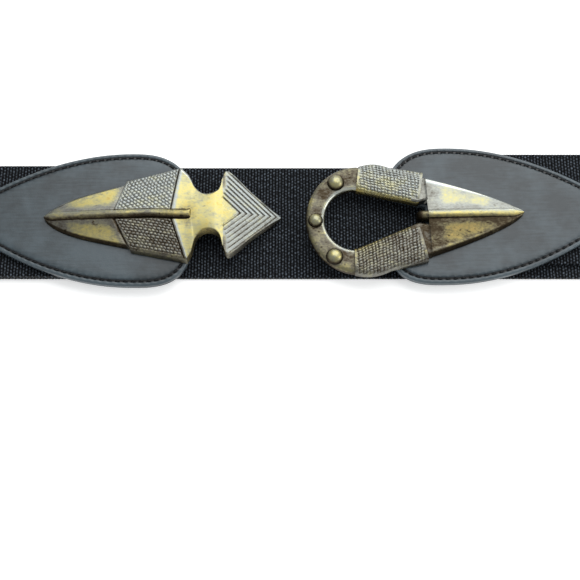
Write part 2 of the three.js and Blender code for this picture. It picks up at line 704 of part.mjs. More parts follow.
const belt = new THREE.Group();
belt.add(piece("elastic_webbing", webbing(), elastic));
belt.add(
  beltEnd({
    side: "left",
    turn: Math.PI + radians(LEFT_TAB_TURN),
    place: [LEFT_TAB_END, LEFT_TAB_OFFSET],
    outline: tabOutline(LEFT_TAB_WIDTH, false, NEAR_BLUNT_POWER, FAR_BLUNT_POWER),
    seat: HOOK_SETBACK + HOOK_WRAP_END,
    offset: HOOK_OFFSET,
    castingTurn: radians(HOOK_TURN),
    castingForward: false,
    casting: { name: "arrow_hook", build: arrowHook },
    studs: HOOK_STUD_INSETS.map((inset, i) => ({ name: "hook_stud_" + (i + 1), inset })),
  }),
);
belt.add(
  beltEnd({
    side: "right",
    turn: radians(RIGHT_TAB_TURN),
    place: [RIGHT_TAB_END, RIGHT_TAB_OFFSET],
    outline: tabOutline(RIGHT_TAB_WIDTH, true, FAR_BLUNT_POWER, NEAR_BLUNT_POWER),
    seat: LOOP_SETBACK - ARM_END,
    offset: LOOP_OFFSET,
    castingTurn: radians(LOOP_TURN),
    castingForward: true,
    casting: { name: "keeper_loop", build: keeperLoop },
    studs: LOOP_STUD_INSETS.map((inset, i) => ({ name: "loop_stud_" + (i + 1), inset })),
  }),
);

// The box round the whole belt stands centred over the origin.
const box = new THREE.Box3().setFromObject(belt, true);
belt.position.y = -(box.min.y + box.max.y) / 2;
const laid = new THREE.Group();
laid.add(belt);

export default laid;
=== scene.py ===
import logging
import math
from dataclasses import dataclass
from enum import Enum

import bpy
import numpy as np
from mathutils import Matrix, Vector


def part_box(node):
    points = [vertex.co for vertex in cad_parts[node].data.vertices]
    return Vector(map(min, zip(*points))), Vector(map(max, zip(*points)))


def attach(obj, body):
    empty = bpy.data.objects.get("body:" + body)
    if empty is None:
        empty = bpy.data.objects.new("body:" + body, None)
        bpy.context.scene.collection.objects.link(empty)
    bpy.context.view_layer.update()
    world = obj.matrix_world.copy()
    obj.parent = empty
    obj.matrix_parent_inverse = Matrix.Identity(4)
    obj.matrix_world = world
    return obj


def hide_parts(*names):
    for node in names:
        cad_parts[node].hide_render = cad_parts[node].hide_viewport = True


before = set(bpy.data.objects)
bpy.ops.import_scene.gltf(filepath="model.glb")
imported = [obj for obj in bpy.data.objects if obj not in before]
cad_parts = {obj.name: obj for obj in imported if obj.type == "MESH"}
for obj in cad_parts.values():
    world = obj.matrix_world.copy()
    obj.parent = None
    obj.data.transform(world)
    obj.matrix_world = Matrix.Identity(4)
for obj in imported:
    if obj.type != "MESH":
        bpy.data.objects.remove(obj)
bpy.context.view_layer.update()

log = logging.getLogger("stretch_belt")

# One millimetre in metres; every size below is in millimetres
MM = 0.001
BODY = "root"

# How close doubled points of a mesh lie, in metres
MERGE_DISTANCE = 1e-7

# Elastic webbing
WEBBING_WIDTH = 50.0
WEBBING_THICKNESS = 1.8
LAID_LENGTH = 372.0
FOLD_HEIGHT = 11.0
WEBBING_SIDESTEP = 5.4
LAYER_GAP = 0.3
RIB_PITCH = 1.3
PEBBLE_PITCH = 1.45

# Leather tabs
TAB_LENGTH = 101.0
LEFT_TAB_WIDTH = 59.5
RIGHT_TAB_WIDTH = 61.0
TAB_WIDEST = 26.5
TAB_FRONT_THICKNESS = 1.8
TAB_BACKING_THICKNESS = 1.2
TAB_ONLY_LENGTH = 41.0
FAR_BLUNT_POWER = 2.5
NEAR_BLUNT_POWER = 3.2
POINT_POWER = 0.8
LEFT_TAB_END = -39.7
RIGHT_TAB_END = 38.8
LEFT_TAB_OFFSET = -0.9
RIGHT_TAB_OFFSET = 0.75
LEFT_TAB_TURN = -0.7
RIGHT_TAB_TURN = 1.3
NOTCH_DEPTH = 18.0
NOTCH_MOUTH_WIDTH = 21.0
NOTCH_FLOOR_WIDTH = 11.0
NOTCH_OFFSET = -2.0
STITCH_INSET = 2.15
STITCH_PITCH = 3.3
STITCH_LENGTH = 2.5
STITCH_WIDTH = 0.95
STITCH_SINK = 0.32
STITCH_SLANT = 6
STITCH_STOP = 3

# Arrow hook, measured along its own axis from the tail's tip
HOOK_BLADE_LENGTH = 28.6
HOOK_WRAP_LENGTH = 25.1
HOOK_NECK_LENGTH = 21.1
HOOK_HEAD_LENGTH = 23.9
HOOK_SETBACK = 9.1
HOOK_TURN = 2.05
HOOK_OFFSET = 0.9
HOOK_BLADE_WIDTH = 28.8
HOOK_WRAP_START_WIDTH = 32.2
HOOK_WRAP_WIDTH = 42.6
HOOK_NECK_WIDTH = 17.4
HOOK_HEAD_WIDTH = 39.0
HOOK_BEAD_SWAY = -1.1
HOOK_WRAP_START_SLANT = 0.44
HOOK_WRAP_END_SLANT = 0.24
HOOK_WRAP_LEAN = 0.06
HOOK_NECK_THICKNESS = 3.8
HOOK_NECK_RISE = 1.8
HOOK_SLOPE_START = 0.85
HOOK_HEAD_THICKNESS = 3.6
HOOK_TIP_THICKNESS = 1.6
CHEVRON_PITCH = 2.5
CHEVRON_SETBACK = 1.9
CHEVRON_COUNT = 7
CHEVRON_RELIEF = 0.32
HOOK_WRAP_END = HOOK_BLADE_LENGTH + HOOK_WRAP_LENGTH
HOOK_BARBS = HOOK_WRAP_END + HOOK_NECK_LENGTH
HOOK_TIP = HOOK_BARBS + HOOK_HEAD_LENGTH

# Keeper loop, measured along its own axis from the bow's outer edge
BOW_LENGTH = 22.2
BOW_WIDTH = 47.8
ARM_LENGTH = 28.5
ARM_END_WIDTH = 35.4
ARM_WIDTH = 14.0
LOOP_PLATE_THICKNESS = 2.8
OPENING_FRONT = 7.7
OPENING_WIDTH = 26.6
OPENING_CENTRE = 20.4
OPENING_APEX_UPPER = 5.9
OPENING_APEX_LOWER = 3.0
SLOT_LENGTH = 4.0
SLOT_SPREAD = 0.8
ARM_WRAP_BULGE = 1.3
ARM_WRAP_END_WIDTH = 39.8
ARM_WRAP_HEIGHT = 4.2
ARM_WRAP_OVERHANG = 0.5
LOOP_BLADE_LENGTH = 40.4
LOOP_BLADE_WIDTH = 35.0
LOOP_RIDGE_START = 1.1
NOSE_LENGTH = 4.8
LOOP_SETBACK = 18.5
LOOP_TURN = 1.5
LOOP_OFFSET = -3.1
RIVET_DIAMETER = 7.2
RIVET_HEIGHT = 2.6
NOSE_RIVET_DIAMETER = 6.2
LOOP_ARM_END = BOW_LENGTH + ARM_LENGTH
OPENING_END = LOOP_ARM_END - SLOT_LENGTH

# Both castings
BLADE_EDGE_HEIGHT = 2.6
BLADE_RIDGE_HEIGHT = 4.1
WRAP_EDGE_HEIGHT = 3.6
WRAP_RIDGE_HEIGHT = 4.7
BEAD_WIDTH = 3.6
BEAD_RISE = 1.3
WALL_FLARE = 0.7
RIM_ROUND = 0.75
CORD_RELIEF = 0.45

# The cast cord's grains: their spacing along and across; on the hook after the slant of the rows in degrees
HOOK_CORD_ROWS = ((34, (1.95, 1.22)), (12, (1.7, 1.35)))
ARM_CORD_PITCH = (1.42, 1.18)

# Levels above the surface
FRONT_RUN_Z = WEBBING_THICKNESS + LAYER_GAP
BACKING_Z = FRONT_RUN_Z + WEBBING_THICKNESS + LAYER_GAP
TAB_FRONT_Z = BACKING_Z + TAB_BACKING_THICKNESS + LAYER_GAP
CASTING_Z = TAB_FRONT_Z + TAB_FRONT_THICKNESS + LAYER_GAP

# The photograph's camera: it stands on the near side and looks down on the belt
CAMERA_DISTANCE = 403.2
CAMERA_TILT = 17.5
CAMERA_AIM = -29.65
FOCAL_PIXELS = 968.0
PHOTO_PIXELS = 580.0
SENSOR_WIDTH = 36.0


class Side(Enum):
    """The belt's two ends, as the photograph shows them."""

    LEFT = "left"
    RIGHT = "right"


class Half(Enum):
    """The two halves of a casting, either side of its middle ridge."""

    UPPER = 1
    LOWER = -1


@dataclass(frozen=True)
class ArmCord:
    """Where the cord round one arm starts and ends behind the bow's outer edge, inside and outside."""

    half: Half
    apex: float
    inner_start: float
    outer_start: float
    inner_end: float
    outer_end: float


ARM_CORDS = (
    ArmCord(Half.UPPER, OPENING_APEX_UPPER, 21.5, 23.4, 47.2, 50.3),
    ArmCord(Half.LOWER, OPENING_APEX_LOWER, 19.2, 18.8, 46.2, 49.4),
)


@dataclass(frozen=True)
class RivetSpot:
    """A rivet's place behind the bow's outer edge and off the axis, and its size."""

    along: float
    off: float
    diameter: float


RIVETS = (
    RivetSpot(13.3, 16.6, RIVET_DIAMETER),
    RivetSpot(3.9, 0.0, NOSE_RIVET_DIAMETER),
    RivetSpot(10.8, -16.1, RIVET_DIAMETER),
)


# Numbers


def flowing(places: list[float], values: list[float], at: np.ndarray) -> np.ndarray:
    """Draws a smooth line through points without overshooting them.

    Args:
        places: where the points are, in rising order.
        values: the value at each point.
        at: where to read the line.

    Returns:
        The line's value at each place asked for.
    """
    xs, ys = np.array(places, float), np.array(values, float)
    step = np.diff(xs)
    rise = np.diff(ys) / step
    slopes = np.concatenate([[rise[0]], (rise[1:] + rise[:-1]) / 2, [rise[-1]]])
    turning = np.concatenate([[False], rise[1:] * rise[:-1] <= 0, [False]])
    slopes[turning] = 0
    at = np.clip(at, xs[0], xs[-1])
    k = np.clip(np.searchsorted(xs, at, side="right") - 1, 0, len(step) - 1)
    t = (at - xs[k]) / step[k]
    return (
        ys[k] * (1 + 2 * t) * (1 - t) ** 2
        + slopes[k] * step[k] * t * (1 - t) ** 2
        + ys[k + 1] * t * t * (3 - 2 * t)
        + slopes[k + 1] * step[k] * t * t * (t - 1)
    )


def smoothstep(value: np.ndarray, low: float, high: float) -> np.ndarray:
    """Rises smoothly from 0 at low to 1 at high."""
    t = np.clip((value - low) / (high - low), 0, 1)
    return t * t * (3 - 2 * t)


def lerp(a: np.ndarray, b: np.ndarray, t: np.ndarray) -> np.ndarray:
    """Goes straight from a to b as t goes from 0 to 1."""
    return a + (b - a) * t


def scatter(column: np.ndarray, row: np.ndarray) -> np.ndarray:
    """Gives each cell of a pattern its own fixed number from 0 to 1."""
    return np.modf(np.abs(np.sin(column * 12.9898 + row * 78.233) * 43758.5453))[0]


def grains(along: np.ndarray, across: np.ndarray, pitch: tuple[float, float], stagger: float) -> np.ndarray:
    """Height of a field of cast grains, each a small pillow of its own height.

    Args:
        along: distance along the rows, in millimetres.
        across: distance across the rows, in millimetres.
        pitch: the grains' spacing along and across.
        stagger: share of a grain by which every other row is shifted.

    Returns:
        Heights from 0 in the grooves to 1 on the highest grains.
    """
    row = np.round(across / pitch[1])
    shifted = along / pitch[0] + stagger * np.mod(row, 2)
    column = np.round(shifted)
    a = 1 - np.abs(2 * (shifted - column)) ** 2.4
    b = 1 - np.abs(2 * (across / pitch[1] - row)) ** 2.4
    size = 0.75 + 0.25 * scatter(column, row)
    return np.sqrt(np.clip(a, 0, 1) * np.clip(b, 0, 1)) * size


@dataclass(frozen=True)
class Place:
    """Where a piece's own frame lies: its origin in millimetres, and its turn about Z in degrees."""

    x: float
    y: float
    z: float
    turn: float

    def world(self, points: np.ndarray) -> np.ndarray:
        """Moves points from this frame to the belt's.

        Args:
            points: points in this frame, in millimetres.

        Returns:
            The same points in the belt's frame.
        """
        angle = math.radians(self.turn)
        c, s = math.cos(angle), math.sin(angle)
        x, y, z = points[..., 0], points[..., 1], points[..., 2]
        return np.stack([self.x + c * x - s * y, self.y + s * x + c * y, self.z + z], axis=-1)

    def inside(self, x: float, y: float, z: float, turn: float) -> "Place":
        """Gives the place of a frame that is stated in this one."""
        spot = self.world(np.array([x, y, z], float))
        return Place(float(spot[0]), float(spot[1]), float(spot[2]), self.turn + turn)


# Mesh helpers


def deselect_all() -> None:
    """Clears the selection, so that an operator acts on the new piece alone."""
    bpy.ops.object.select_all(action="DESELECT")


def only(obj: bpy.types.Object) -> bpy.types.Object:
    """Selects one object and makes it active.

    Args:
        obj: the object to work on.

    Returns:
        The same object.
    """
    deselect_all()
    obj.select_set(True)
    bpy.context.view_layer.objects.active = obj
    return obj


def named(name: str) -> bpy.types.Object:
    """Names the object that an operator has just added.

    Args:
        name: the name it gets.

    Returns:
        The named object.
    """
    obj = bpy.context.object
    obj.name = name
    obj.data.name = name
    return obj


def set_places(obj: bpy.types.Object, places: np.ndarray) -> None:
    """Puts the mesh's points at places given in millimetres."""
    obj.data.vertices.foreach_set("co", (places.reshape(-1, 3) * MM).astype(np.float32).ravel())
    obj.data.update()


def set_attribute(obj: bpy.types.Object, name: str, values: np.ndarray | float) -> None:
    """Writes one number for each point of the mesh, for the finish to read.

    Args:
        obj: the piece's object.
        name: the attribute's name.
        values: one number, or one for each point.
    """
    mesh = obj.data
    attribute = mesh.attributes.get(name) or mesh.attributes.new(name, "FLOAT", "POINT")
    full = np.broadcast_to(np.asarray(values, np.float32).reshape(-1), (len(mesh.vertices),))
    attribute.data.foreach_set("value", np.ascontiguousarray(full))


def tidy_shell(obj: bpy.types.Object) -> None:
    """Merges doubled points and turns every face outwards.

    Args:
        obj: the piece's object.
    """
    only(obj)
    bpy.ops.object.mode_set(mode="EDIT")
    bpy.ops.mesh.select_all(action="SELECT")
    bpy.ops.mesh.remove_doubles(threshold=MERGE_DISTANCE)
    bpy.ops.mesh.normals_make_consistent(inside=False)
    bpy.ops.object.mode_set(mode="OBJECT")


def smooth(obj: bpy.types.Object, angle: float = 35.0) -> None:
    """Shades the piece smooth but for its sharp edges."""
    only(obj)
    bpy.ops.object.shade_smooth_by_angle(angle=math.radians(angle))


def relief_grid(name: str, places: np.ndarray, marks: dict[str, np.ndarray]) -> bpy.types.Object:
    """Shapes a grid into a cast form, and closes it underneath.

    Args:
        name: the piece's name.
        places: a point for each crossing of the grid, in millimetres, rows first.
        marks: attribute values, laid out as the points are.

    Returns:
        The closed piece.
    """
    rows, columns = places.shape[:2]
    deselect_all()
    bpy.ops.mesh.primitive_grid_add(x_subdivisions=columns - 1, y_subdivisions=rows - 1, size=1)
    obj = named(name)
    set_places(obj, places)
    for mark, values in marks.items():
        set_attribute(obj, mark, np.broadcast_to(values, (rows, columns)))
    bpy.ops.object.mode_set(mode="EDIT")
    bpy.ops.mesh.select_mode(type="EDGE")
    bpy.ops.mesh.select_all(action="DESELECT")
    bpy.ops.mesh.select_non_manifold(
        extend=False, use_wire=False, use_boundary=True, use_multi_face=False,
        use_non_contiguous=False, use_verts=False,
    )
    bpy.ops.mesh.edge_face_add()
    bpy.ops.mesh.select_mode(type="VERT")
    bpy.ops.object.mode_set(mode="OBJECT")
    tidy_shell(obj)
    return obj


def extruded_rings(name: str, rings: np.ndarray) -> bpy.types.Object:
    """Extrudes a filled outline from ring to ring.

    Args:
        name: the piece's name.
        rings: points of each ring in turn, in millimetres.

    Returns:
        The closed piece.
    """
    count = rings.shape[1]
    deselect_all()
    bpy.ops.mesh.primitive_circle_add(vertices=count, radius=MM, fill_type="NGON")
    obj = named(name)
    bpy.ops.object.mode_set(mode="EDIT")
    bpy.ops.mesh.select_mode(type="FACE")
    bpy.ops.mesh.select_all(action="SELECT")
    for _ in range(len(rings) - 1):
        bpy.ops.mesh.extrude_region_move()
    bpy.ops.mesh.select_mode(type="VERT")
    bpy.ops.object.mode_set(mode="OBJECT")
    edges = np.zeros(len(obj.data.edges) * 2, np.int32)
    obj.data.edges.foreach_get("vertices", edges)
    edges = np.sort(edges.reshape(-1, 2), axis=1)
    upward = edges[edges[:, 0] // count != edges[:, 1] // count]
    follows = dict(map(tuple, upward))
    places = np.zeros((len(rings) * count, 3))
    at = list(range(count))
    for ring in rings:
        places[at] = ring
        at = [follows.get(v, v) for v in at]
    set_places(obj, places)
    tidy_shell(obj)
    return obj


def joined(name: str, pieces: list[bpy.types.Object]) -> bpy.types.Object:
    """Joins pieces into one object.

    Args:
        name: the joined object's name.
        pieces: the objects to join.

    Returns:
        The joined object.
    """
    deselect_all()
    for piece in pieces:
        piece.select_set(True)
    bpy.context.view_layer.objects.active = pieces[0]
    bpy.ops.object.join()
    return named(name)


# Finishes


def linear(colour: str) -> tuple[float, float, float, float]:
    """Turns an sRGB hex colour into the linear colour that a shader takes."""
    parts = [int(colour[i : i + 2], 16) / 255 for i in (1, 3, 5)]
    r, g, b = [p / 12.92 if p <= 0.04045 else ((p + 0.055) / 1.055) ** 2.4 for p in parts]
    return r, g, b, 1.0


def node(
    tree: bpy.types.NodeTree, kind: str, settings: dict[str | int, object], links: dict[str | int, object]
) -> bpy.types.Node:
    """Adds a node with its settings and links.

    Args:
        tree: the material's node tree.
        kind: the node's type, without its ShaderNode prefix.
        settings: values by socket or property name. A socket's number may stand for its name, and a
            colour ramp's stops are listed as place and sRGB colour.
        links: the node, taken by its first output, or the output that each input takes.

    Returns:
        The new node.
    """
    made = tree.nodes.new("ShaderNode" + kind)
    stops = settings.get("stops", [])
    plain = {key: value for key, value in settings.items() if key != "stops"}
    own = {key: value for key, value in plain.items() if isinstance(key, str) and hasattr(made, key)}
    for key, value in own.items():
        setattr(made, key, value)
    for key, value in plain.items():
        if key not in own:
            made.inputs[key].default_value = value
    for at, _ in stops[1:-1]:
        made.color_ramp.elements.new(at)
    for number, (at, colour) in enumerate(stops):
        made.color_ramp.elements[number].position = at
        made.color_ramp.elements[number].color = linear(colour)
    for key, source in links.items():
        first = source.outputs[0] if isinstance(source, bpy.types.Node) else source
        tree.links.new(first, made.inputs[key])
    return made


@dataclass(frozen=True)
class Finish:
    """What every finish has: a material's name, and a shader tree to fill."""

    name: str

    def build(self) -> bpy.types.Material:
        """Makes the material.

        Returns:
            The finished material.
        """
        material = bpy.data.materials.new(self.name)
        material.use_nodes = True
        tree = material.node_tree
        tree.nodes.clear()
        shader = self.shader(tree)
        node(tree, "OutputMaterial", {}, {"Surface": shader.outputs["BSDF"]})
        return material

    def shader(self, tree: bpy.types.NodeTree) -> bpy.types.Node:
        """Fills the tree and gives its Principled shader."""
        raise NotImplementedError


# The metal: cast brass blackened all over, then rubbed back. It gives the eye dark brown hollows, silvery
# high places and worn yellow patches, with a satin shine. The marks also paint light: the half towards the
# lamp is marked lighter, and marks past 1.15 turn the metal near-white as a painted highlight.
@dataclass(frozen=True)
class AntiquedBrass(Finish):
    """Cast brass, blackened and then rubbed back; marks on the mesh say where, and the rub mark also carries
    painted light and shade.
    """

    patina: str = "#1c1812"
    brown: str = "#574c3b"
    straw: str = "#82744f"
    silver: str = "#949a98"
    # Near-white for marks past 1.15: polish on worn rims, and a painted highlight where the marks paint the
    # lit side brighter.
    highlight_polish: str = "#cfd1c6"
    mixed: str = "#a3a07c"
    gold: str = "#b6aa6c"
    amber: str = "#ad985a"
    patch_size: float = 5.0
    fleck_size: float = 0.8
    speck_size: float = 1.3
    drawn_along: float = 0.65

    def shader(self, tree: bpy.types.NodeTree) -> bpy.types.Node:
        """Mixes patina and rubbed metal by the marks on the mesh, and roughens the patina.

        Args:
            tree: the material's node tree.

        Returns:
            The Principled shader.
        """
        place = node(tree, "TexCoord", {}, {}).outputs["Object"]
        drawn = node(tree, "Mapping", {"Scale": (self.drawn_along, 1.0, 1.0)}, {"Vector": place})
        bare_and_lit = node(tree, "Attribute", {"attribute_name": "bare_and_lit"}, {}).outputs["Fac"]
        gilt = node(tree, "Attribute", {"attribute_name": "gilt"}, {}).outputs["Fac"]
        spots = []
        kinds = ((self.patch_size, 5, 0.65), (self.fleck_size, 2, 0.7), (self.speck_size, 1, 0.4))
        for size, detail, roughness in kinds:
            settings = {"Scale": 1 / (size * MM), "Detail": detail, "Roughness": roughness}
            spots.append(node(tree, "TexNoise", settings, {"Vector": drawn}))
        patchy = node(tree, "MapRange", {1: 0.3, 2: 0.7, 3: -1.0, 4: 1.0}, {0: spots[0]})
        flecked = node(tree, "MapRange", {1: 0.3, 2: 0.7, 3: -1.0, 4: 1.0}, {0: spots[1]})
        specked = node(tree, "MapRange", {1: 0.64, 2: 0.9, 3: 0.0, 4: -0.4}, {0: spots[2]})
        rub_and_light = node(tree, "Math", {"operation": "MULTIPLY_ADD", 1: 0.14}, {0: patchy, 2: bare_and_lit})
        rub_and_light = node(tree, "Math", {"operation": "MULTIPLY_ADD", 1: 0.09}, {0: flecked, 2: rub_and_light})
        rub_and_light = node(tree, "Math", {"operation": "ADD"}, {0: rub_and_light, 1: specked})
        tone = node(tree, "Math", {"operation": "MULTIPLY_ADD", 1: 0.26}, {0: patchy, 2: gilt})
        settings = {"operation": "MULTIPLY_ADD", 1: 0.16, "use_clamp": True}
        tone = node(tree, "Math", settings, {0: flecked, 2: tone})
        metals = [(0.1, self.silver), (0.5, self.mixed), (0.8, self.gold), (1.0, self.amber)]
        metal = node(tree, "ValToRGB", {"stops": metals}, {0: tone})
        hollows = [(0.0, self.patina), (0.6, self.brown), (1.0, self.straw)]
        hollow = node(tree, "ValToRGB", {"stops": hollows}, {0: rub_and_light})
        cover = node(tree, "MapRange", {1: 0.35, 2: 0.95}, {0: rub_and_light})
        colour = node(tree, "Mix", {"data_type": "RGBA"}, {"Factor": cover, 6: hollow, 7: metal}).outputs[2]
        # Past 1.15 the metal turns near-white: polish on worn rims, and a painted highlight where the marks
        # push the lit side that far.
        shine = node(tree, "MapRange", {1: 1.15, 2: 1.5}, {0: rub_and_light})
        settings = {"data_type": "RGBA", 7: linear(self.highlight_polish)}
        colour = node(tree, "Mix", settings, {"Factor": shine, 6: colour}).outputs[2]
        rough = node(tree, "MapRange", {3: 0.6, 4: 0.36}, {0: rub_and_light})
        bump = node(tree, "Bump", {"Strength": 0.3, "Distance": 0.1 * MM}, {"Height": spots[1]})
        links = {"Base Color": colour, "Roughness": rough, "Normal": bump}
        return node(tree, "BsdfPrincipled", {"Metallic": 1.0}, links)


# The tabs: vegetable-tanned leather, dyed slate grey and waxed. It gives the eye a satin sheen with faint
# brushed streaks, a painted highlight on the rounded edge and painted shade in the stitched groove.
@dataclass(frozen=True)
class DyedLeather(Finish):
    """Smooth dyed leather; a mark on the mesh is 1 where shade is painted into the stitched groove and below
    0 where a highlight is painted on the rounded edge.
    """

    colour: str = "#3c494f"
    deep: str = "#202a2e"
    # The groove colour is painted shade in the sunk stitch groove, and the pale rim colour after it a painted
    # highlight on the rounded edge.
    groove: str = "#08090a"
    rim_highlight: str = "#5a666c"
    pore_size: float = 0.5
    crease_size: float = 2.2
    drift_size: float = 18.0
    streak_length: float = 9.0
    streak_width: float = 0.9

    def shader(self, tree: bpy.types.NodeTree) -> bpy.types.Node:
        """Drifts and streaks the dye, dots the pores, paints shade into the stitched groove and a highlight
        on the edge.

        Args:
            tree: the material's node tree.

        Returns:
            The Principled shader.
        """
        place = node(tree, "TexCoord", {}, {}).outputs["Object"]
        groove_shade_rim_light = node(tree, "Attribute", {"attribute_name": "groove_shade_rim_light"}, {}).outputs["Fac"]
        settings = {"Scale": 1 / (self.drift_size * MM), "Detail": 5.0, "Roughness": 0.6}
        drift = node(tree, "TexNoise", settings, {"Vector": place})
        settings = {"Scale": 1 / (self.crease_size * MM), "Detail": 6.0, "Roughness": 0.7}
        creases = node(tree, "TexNoise", settings, {"Vector": place})
        settings = {"Scale": 1 / (self.pore_size * MM), "feature": "SMOOTH_F1"}
        pores = node(tree, "TexVoronoi", settings, {"Vector": place})
        stroke = (1 / (self.streak_length * MM), 1 / (self.streak_width * MM), 1.0)
        brushed = node(tree, "Mapping", {"Scale": stroke}, {"Vector": place})
        streak = node(tree, "TexNoise", {"Scale": 1.0, "Detail": 3.0}, {"Vector": brushed})
        streaky = node(tree, "MapRange", {1: 0.3, 2: 0.7, 3: -0.07, 4: 0.07}, {0: streak})
        shade = node(tree, "Math", {"operation": "ADD"}, {0: drift, 1: streaky})
        dye = node(tree, "ValToRGB", {"stops": [(0.36, self.deep), (0.64, self.colour)]}, {0: shade})
        # Below 0 the mark paints a highlight on the rounded edge; up to 1 it paints shade into the groove.
        rubbed = node(tree, "MapRange", {2: -1.0}, {0: groove_shade_rim_light})
        for share, tint in ((rubbed, self.rim_highlight), (groove_shade_rim_light, self.groove)):
            settings = {"data_type": "RGBA", 7: linear(tint)}
            dye = node(tree, "Mix", settings, {"Factor": share, 6: dye}).outputs[2]
        rough = node(tree, "MapRange", {1: 0.3, 2: 0.7, 3: 0.31, 4: 0.4}, {0: creases})
        height = node(tree, "Math", {"operation": "MULTIPLY_ADD", 1: 0.5}, {0: pores, 2: creases})
        bump = node(tree, "Bump", {"Strength": 0.3, "Distance": 0.1 * MM}, {"Height": height})
        links = {"Base Color": dye, "Roughness": rough, "Normal": bump}
        return node(tree, "BsdfPrincipled", {"Specular IOR Level": 0.6}, links)


# The strip: black polyester elastic. It gives the eye close ribs across the strip, each a row of small
# pillows with a painted grey-blue highlight on top and painted shade in the gaps between them.
@dataclass(frozen=True)
class ElasticWeave(Finish):
    """Woven polyester elastic, drawn on the strip's own flat map."""

    gap_shade: str = "#010102"
    yarn: str = "#1b1e22"
    lit: str = "#5c656e"
    wander_size: float = 1.1
    fibre_size: float = 1.3

    def shader(self, tree: bpy.types.NodeTree) -> bpy.types.Node:
        """Raises a pillow for each crossing of the yarns; the flat map is in metres.

        Args:
            tree: the material's node tree.

        Returns:
            The Principled shader.
        """
        place = node(tree, "UVMap", {"uv_map": "flat"}, {})
        flat = node(tree, "SeparateXYZ", {}, {0: place}).outputs
        settings = {"Scale": 1 / (self.wander_size * MM), "Detail": 1.0}
        wander = node(tree, "TexNoise", settings, {"Vector": place})
        shift = node(tree, "MapRange", {3: -0.25, 4: 0.25}, {0: wander})
        settings = {"operation": "MULTIPLY_ADD", 1: 1 / (RIB_PITCH * MM)}
        rib = node(tree, "Math", settings, {0: flat["X"], 2: shift})
        rib_number = node(tree, "Math", {"operation": "ROUND"}, {0: rib})
        odd = node(tree, "Math", {"operation": "PINGPONG", 1: 1.0}, {0: rib_number})
        settings = {"operation": "MULTIPLY_ADD", 1: 1 / (PEBBLE_PITCH * MM)}
        row = node(tree, "Math", settings, {0: flat["Y"], 2: shift})
        row = node(tree, "Math", {"operation": "MULTIPLY_ADD", 1: 0.5}, {0: odd, 2: row})
        row_number = node(tree, "Math", {"operation": "ROUND"}, {0: row})
        pillows = []
        for value, number in ((rib, rib_number), (row, row_number)):
            away = node(tree, "Math", {"operation": "SUBTRACT"}, {0: value, 1: number})
            away = node(tree, "Math", {"operation": "MULTIPLY", 1: math.pi}, {0: away})
            pillows.append(node(tree, "Math", {"operation": "COSINE"}, {0: away}))
        dashed = node(tree, "MapRange", {3: 0.45, 4: 1.0}, {0: pillows[1]})
        both = node(tree, "Math", {"operation": "MULTIPLY", "use_clamp": True}, {0: pillows[0], 1: dashed})
        height = node(tree, "Math", {"operation": "POWER", 1: 0.7}, {0: both})
        settings = {"Scale": 1 / (self.fibre_size * MM), "Detail": 3.0, "Roughness": 0.7}
        fibre = node(tree, "TexNoise", settings, {"Vector": place})
        mottled = node(tree, "MapRange", {1: 0.3, 2: 0.7, 3: 0.5, 4: 1.2}, {0: fibre})
        shade = node(tree, "Math", {"operation": "MULTIPLY", "use_clamp": True}, {0: height, 1: mottled})
        # Coloured by pillow height: painted shade in the gaps, the black yarn, and a painted highlight on the
        # tops.
        stops = [(0.3, self.gap_shade), (0.65, self.yarn), (1.0, self.lit)]
        colour = node(tree, "ValToRGB", {"stops": stops}, {0: shade})
        bump = node(tree, "Bump", {"Strength": 1.0, "Distance": 0.4 * MM}, {"Height": height})
        settings = {"Roughness": 0.65, "Specular IOR Level": 0.12}
        return node(tree, "BsdfPrincipled", settings, {"Base Color": colour, "Normal": bump})


# The sewing: waxed linen thread, nearly black, that catches a little light on each stitch.
@dataclass(frozen=True)
class WaxedThread(Finish):
    """Waxed black linen thread: dark, with a slight shine."""

    colour: str = "#0c0e10"
    deep: str = "#050607"
    ply_size: float = 0.35

    def shader(self, tree: bpy.types.NodeTree) -> bpy.types.Node:
        """Twists fine plies round the thread.

        Args:
            tree: the material's node tree.

        Returns:
            The Principled shader.
        """
        place = node(tree, "TexCoord", {}, {}).outputs["Object"]
        plies = node(tree, "TexNoise", {"Scale": 1 / (self.ply_size * MM), "Detail": 2.0}, {"Vector": place})
        colour = node(tree, "ValToRGB", {"stops": [(0.3, self.deep), (0.8, self.colour)]}, {0: plies})
        bump = node(tree, "Bump", {"Strength": 0.3, "Distance": 0.08 * MM}, {"Height": plies})
        settings = {"Roughness": 0.5, "Specular IOR Level": 0.3}
        return node(tree, "BsdfPrincipled", settings, {"Base Color": colour, "Normal": bump})


@dataclass(frozen=True)
class Finishes:
    """The belt's materials, made once."""

    brass: bpy.types.Material
    leather: bpy.types.Material
    backing: bpy.types.Material
    elastic: bpy.types.Material
    thread: bpy.types.Material
    stud: bpy.types.Material

    @staticmethod
    def make() -> "Finishes":
        """Builds every material of the belt.

        Returns:
            The set of materials.
        """
        return Finishes(
            brass=AntiquedBrass("cast_antiqued_brass").build(),
            leather=DyedLeather("dyed_waxed_leather").build(),
            backing=DyedLeather("dyed_lining_leather", colour="#465157", deep="#394248").build(),
            elastic=ElasticWeave("woven_polyester_elastic").build(),
            thread=WaxedThread("waxed_linen_thread").build(),
            stud=AntiquedBrass("turned_dull_brass", silver="#7d7a6c", gold="#8f8352").build(),
        )


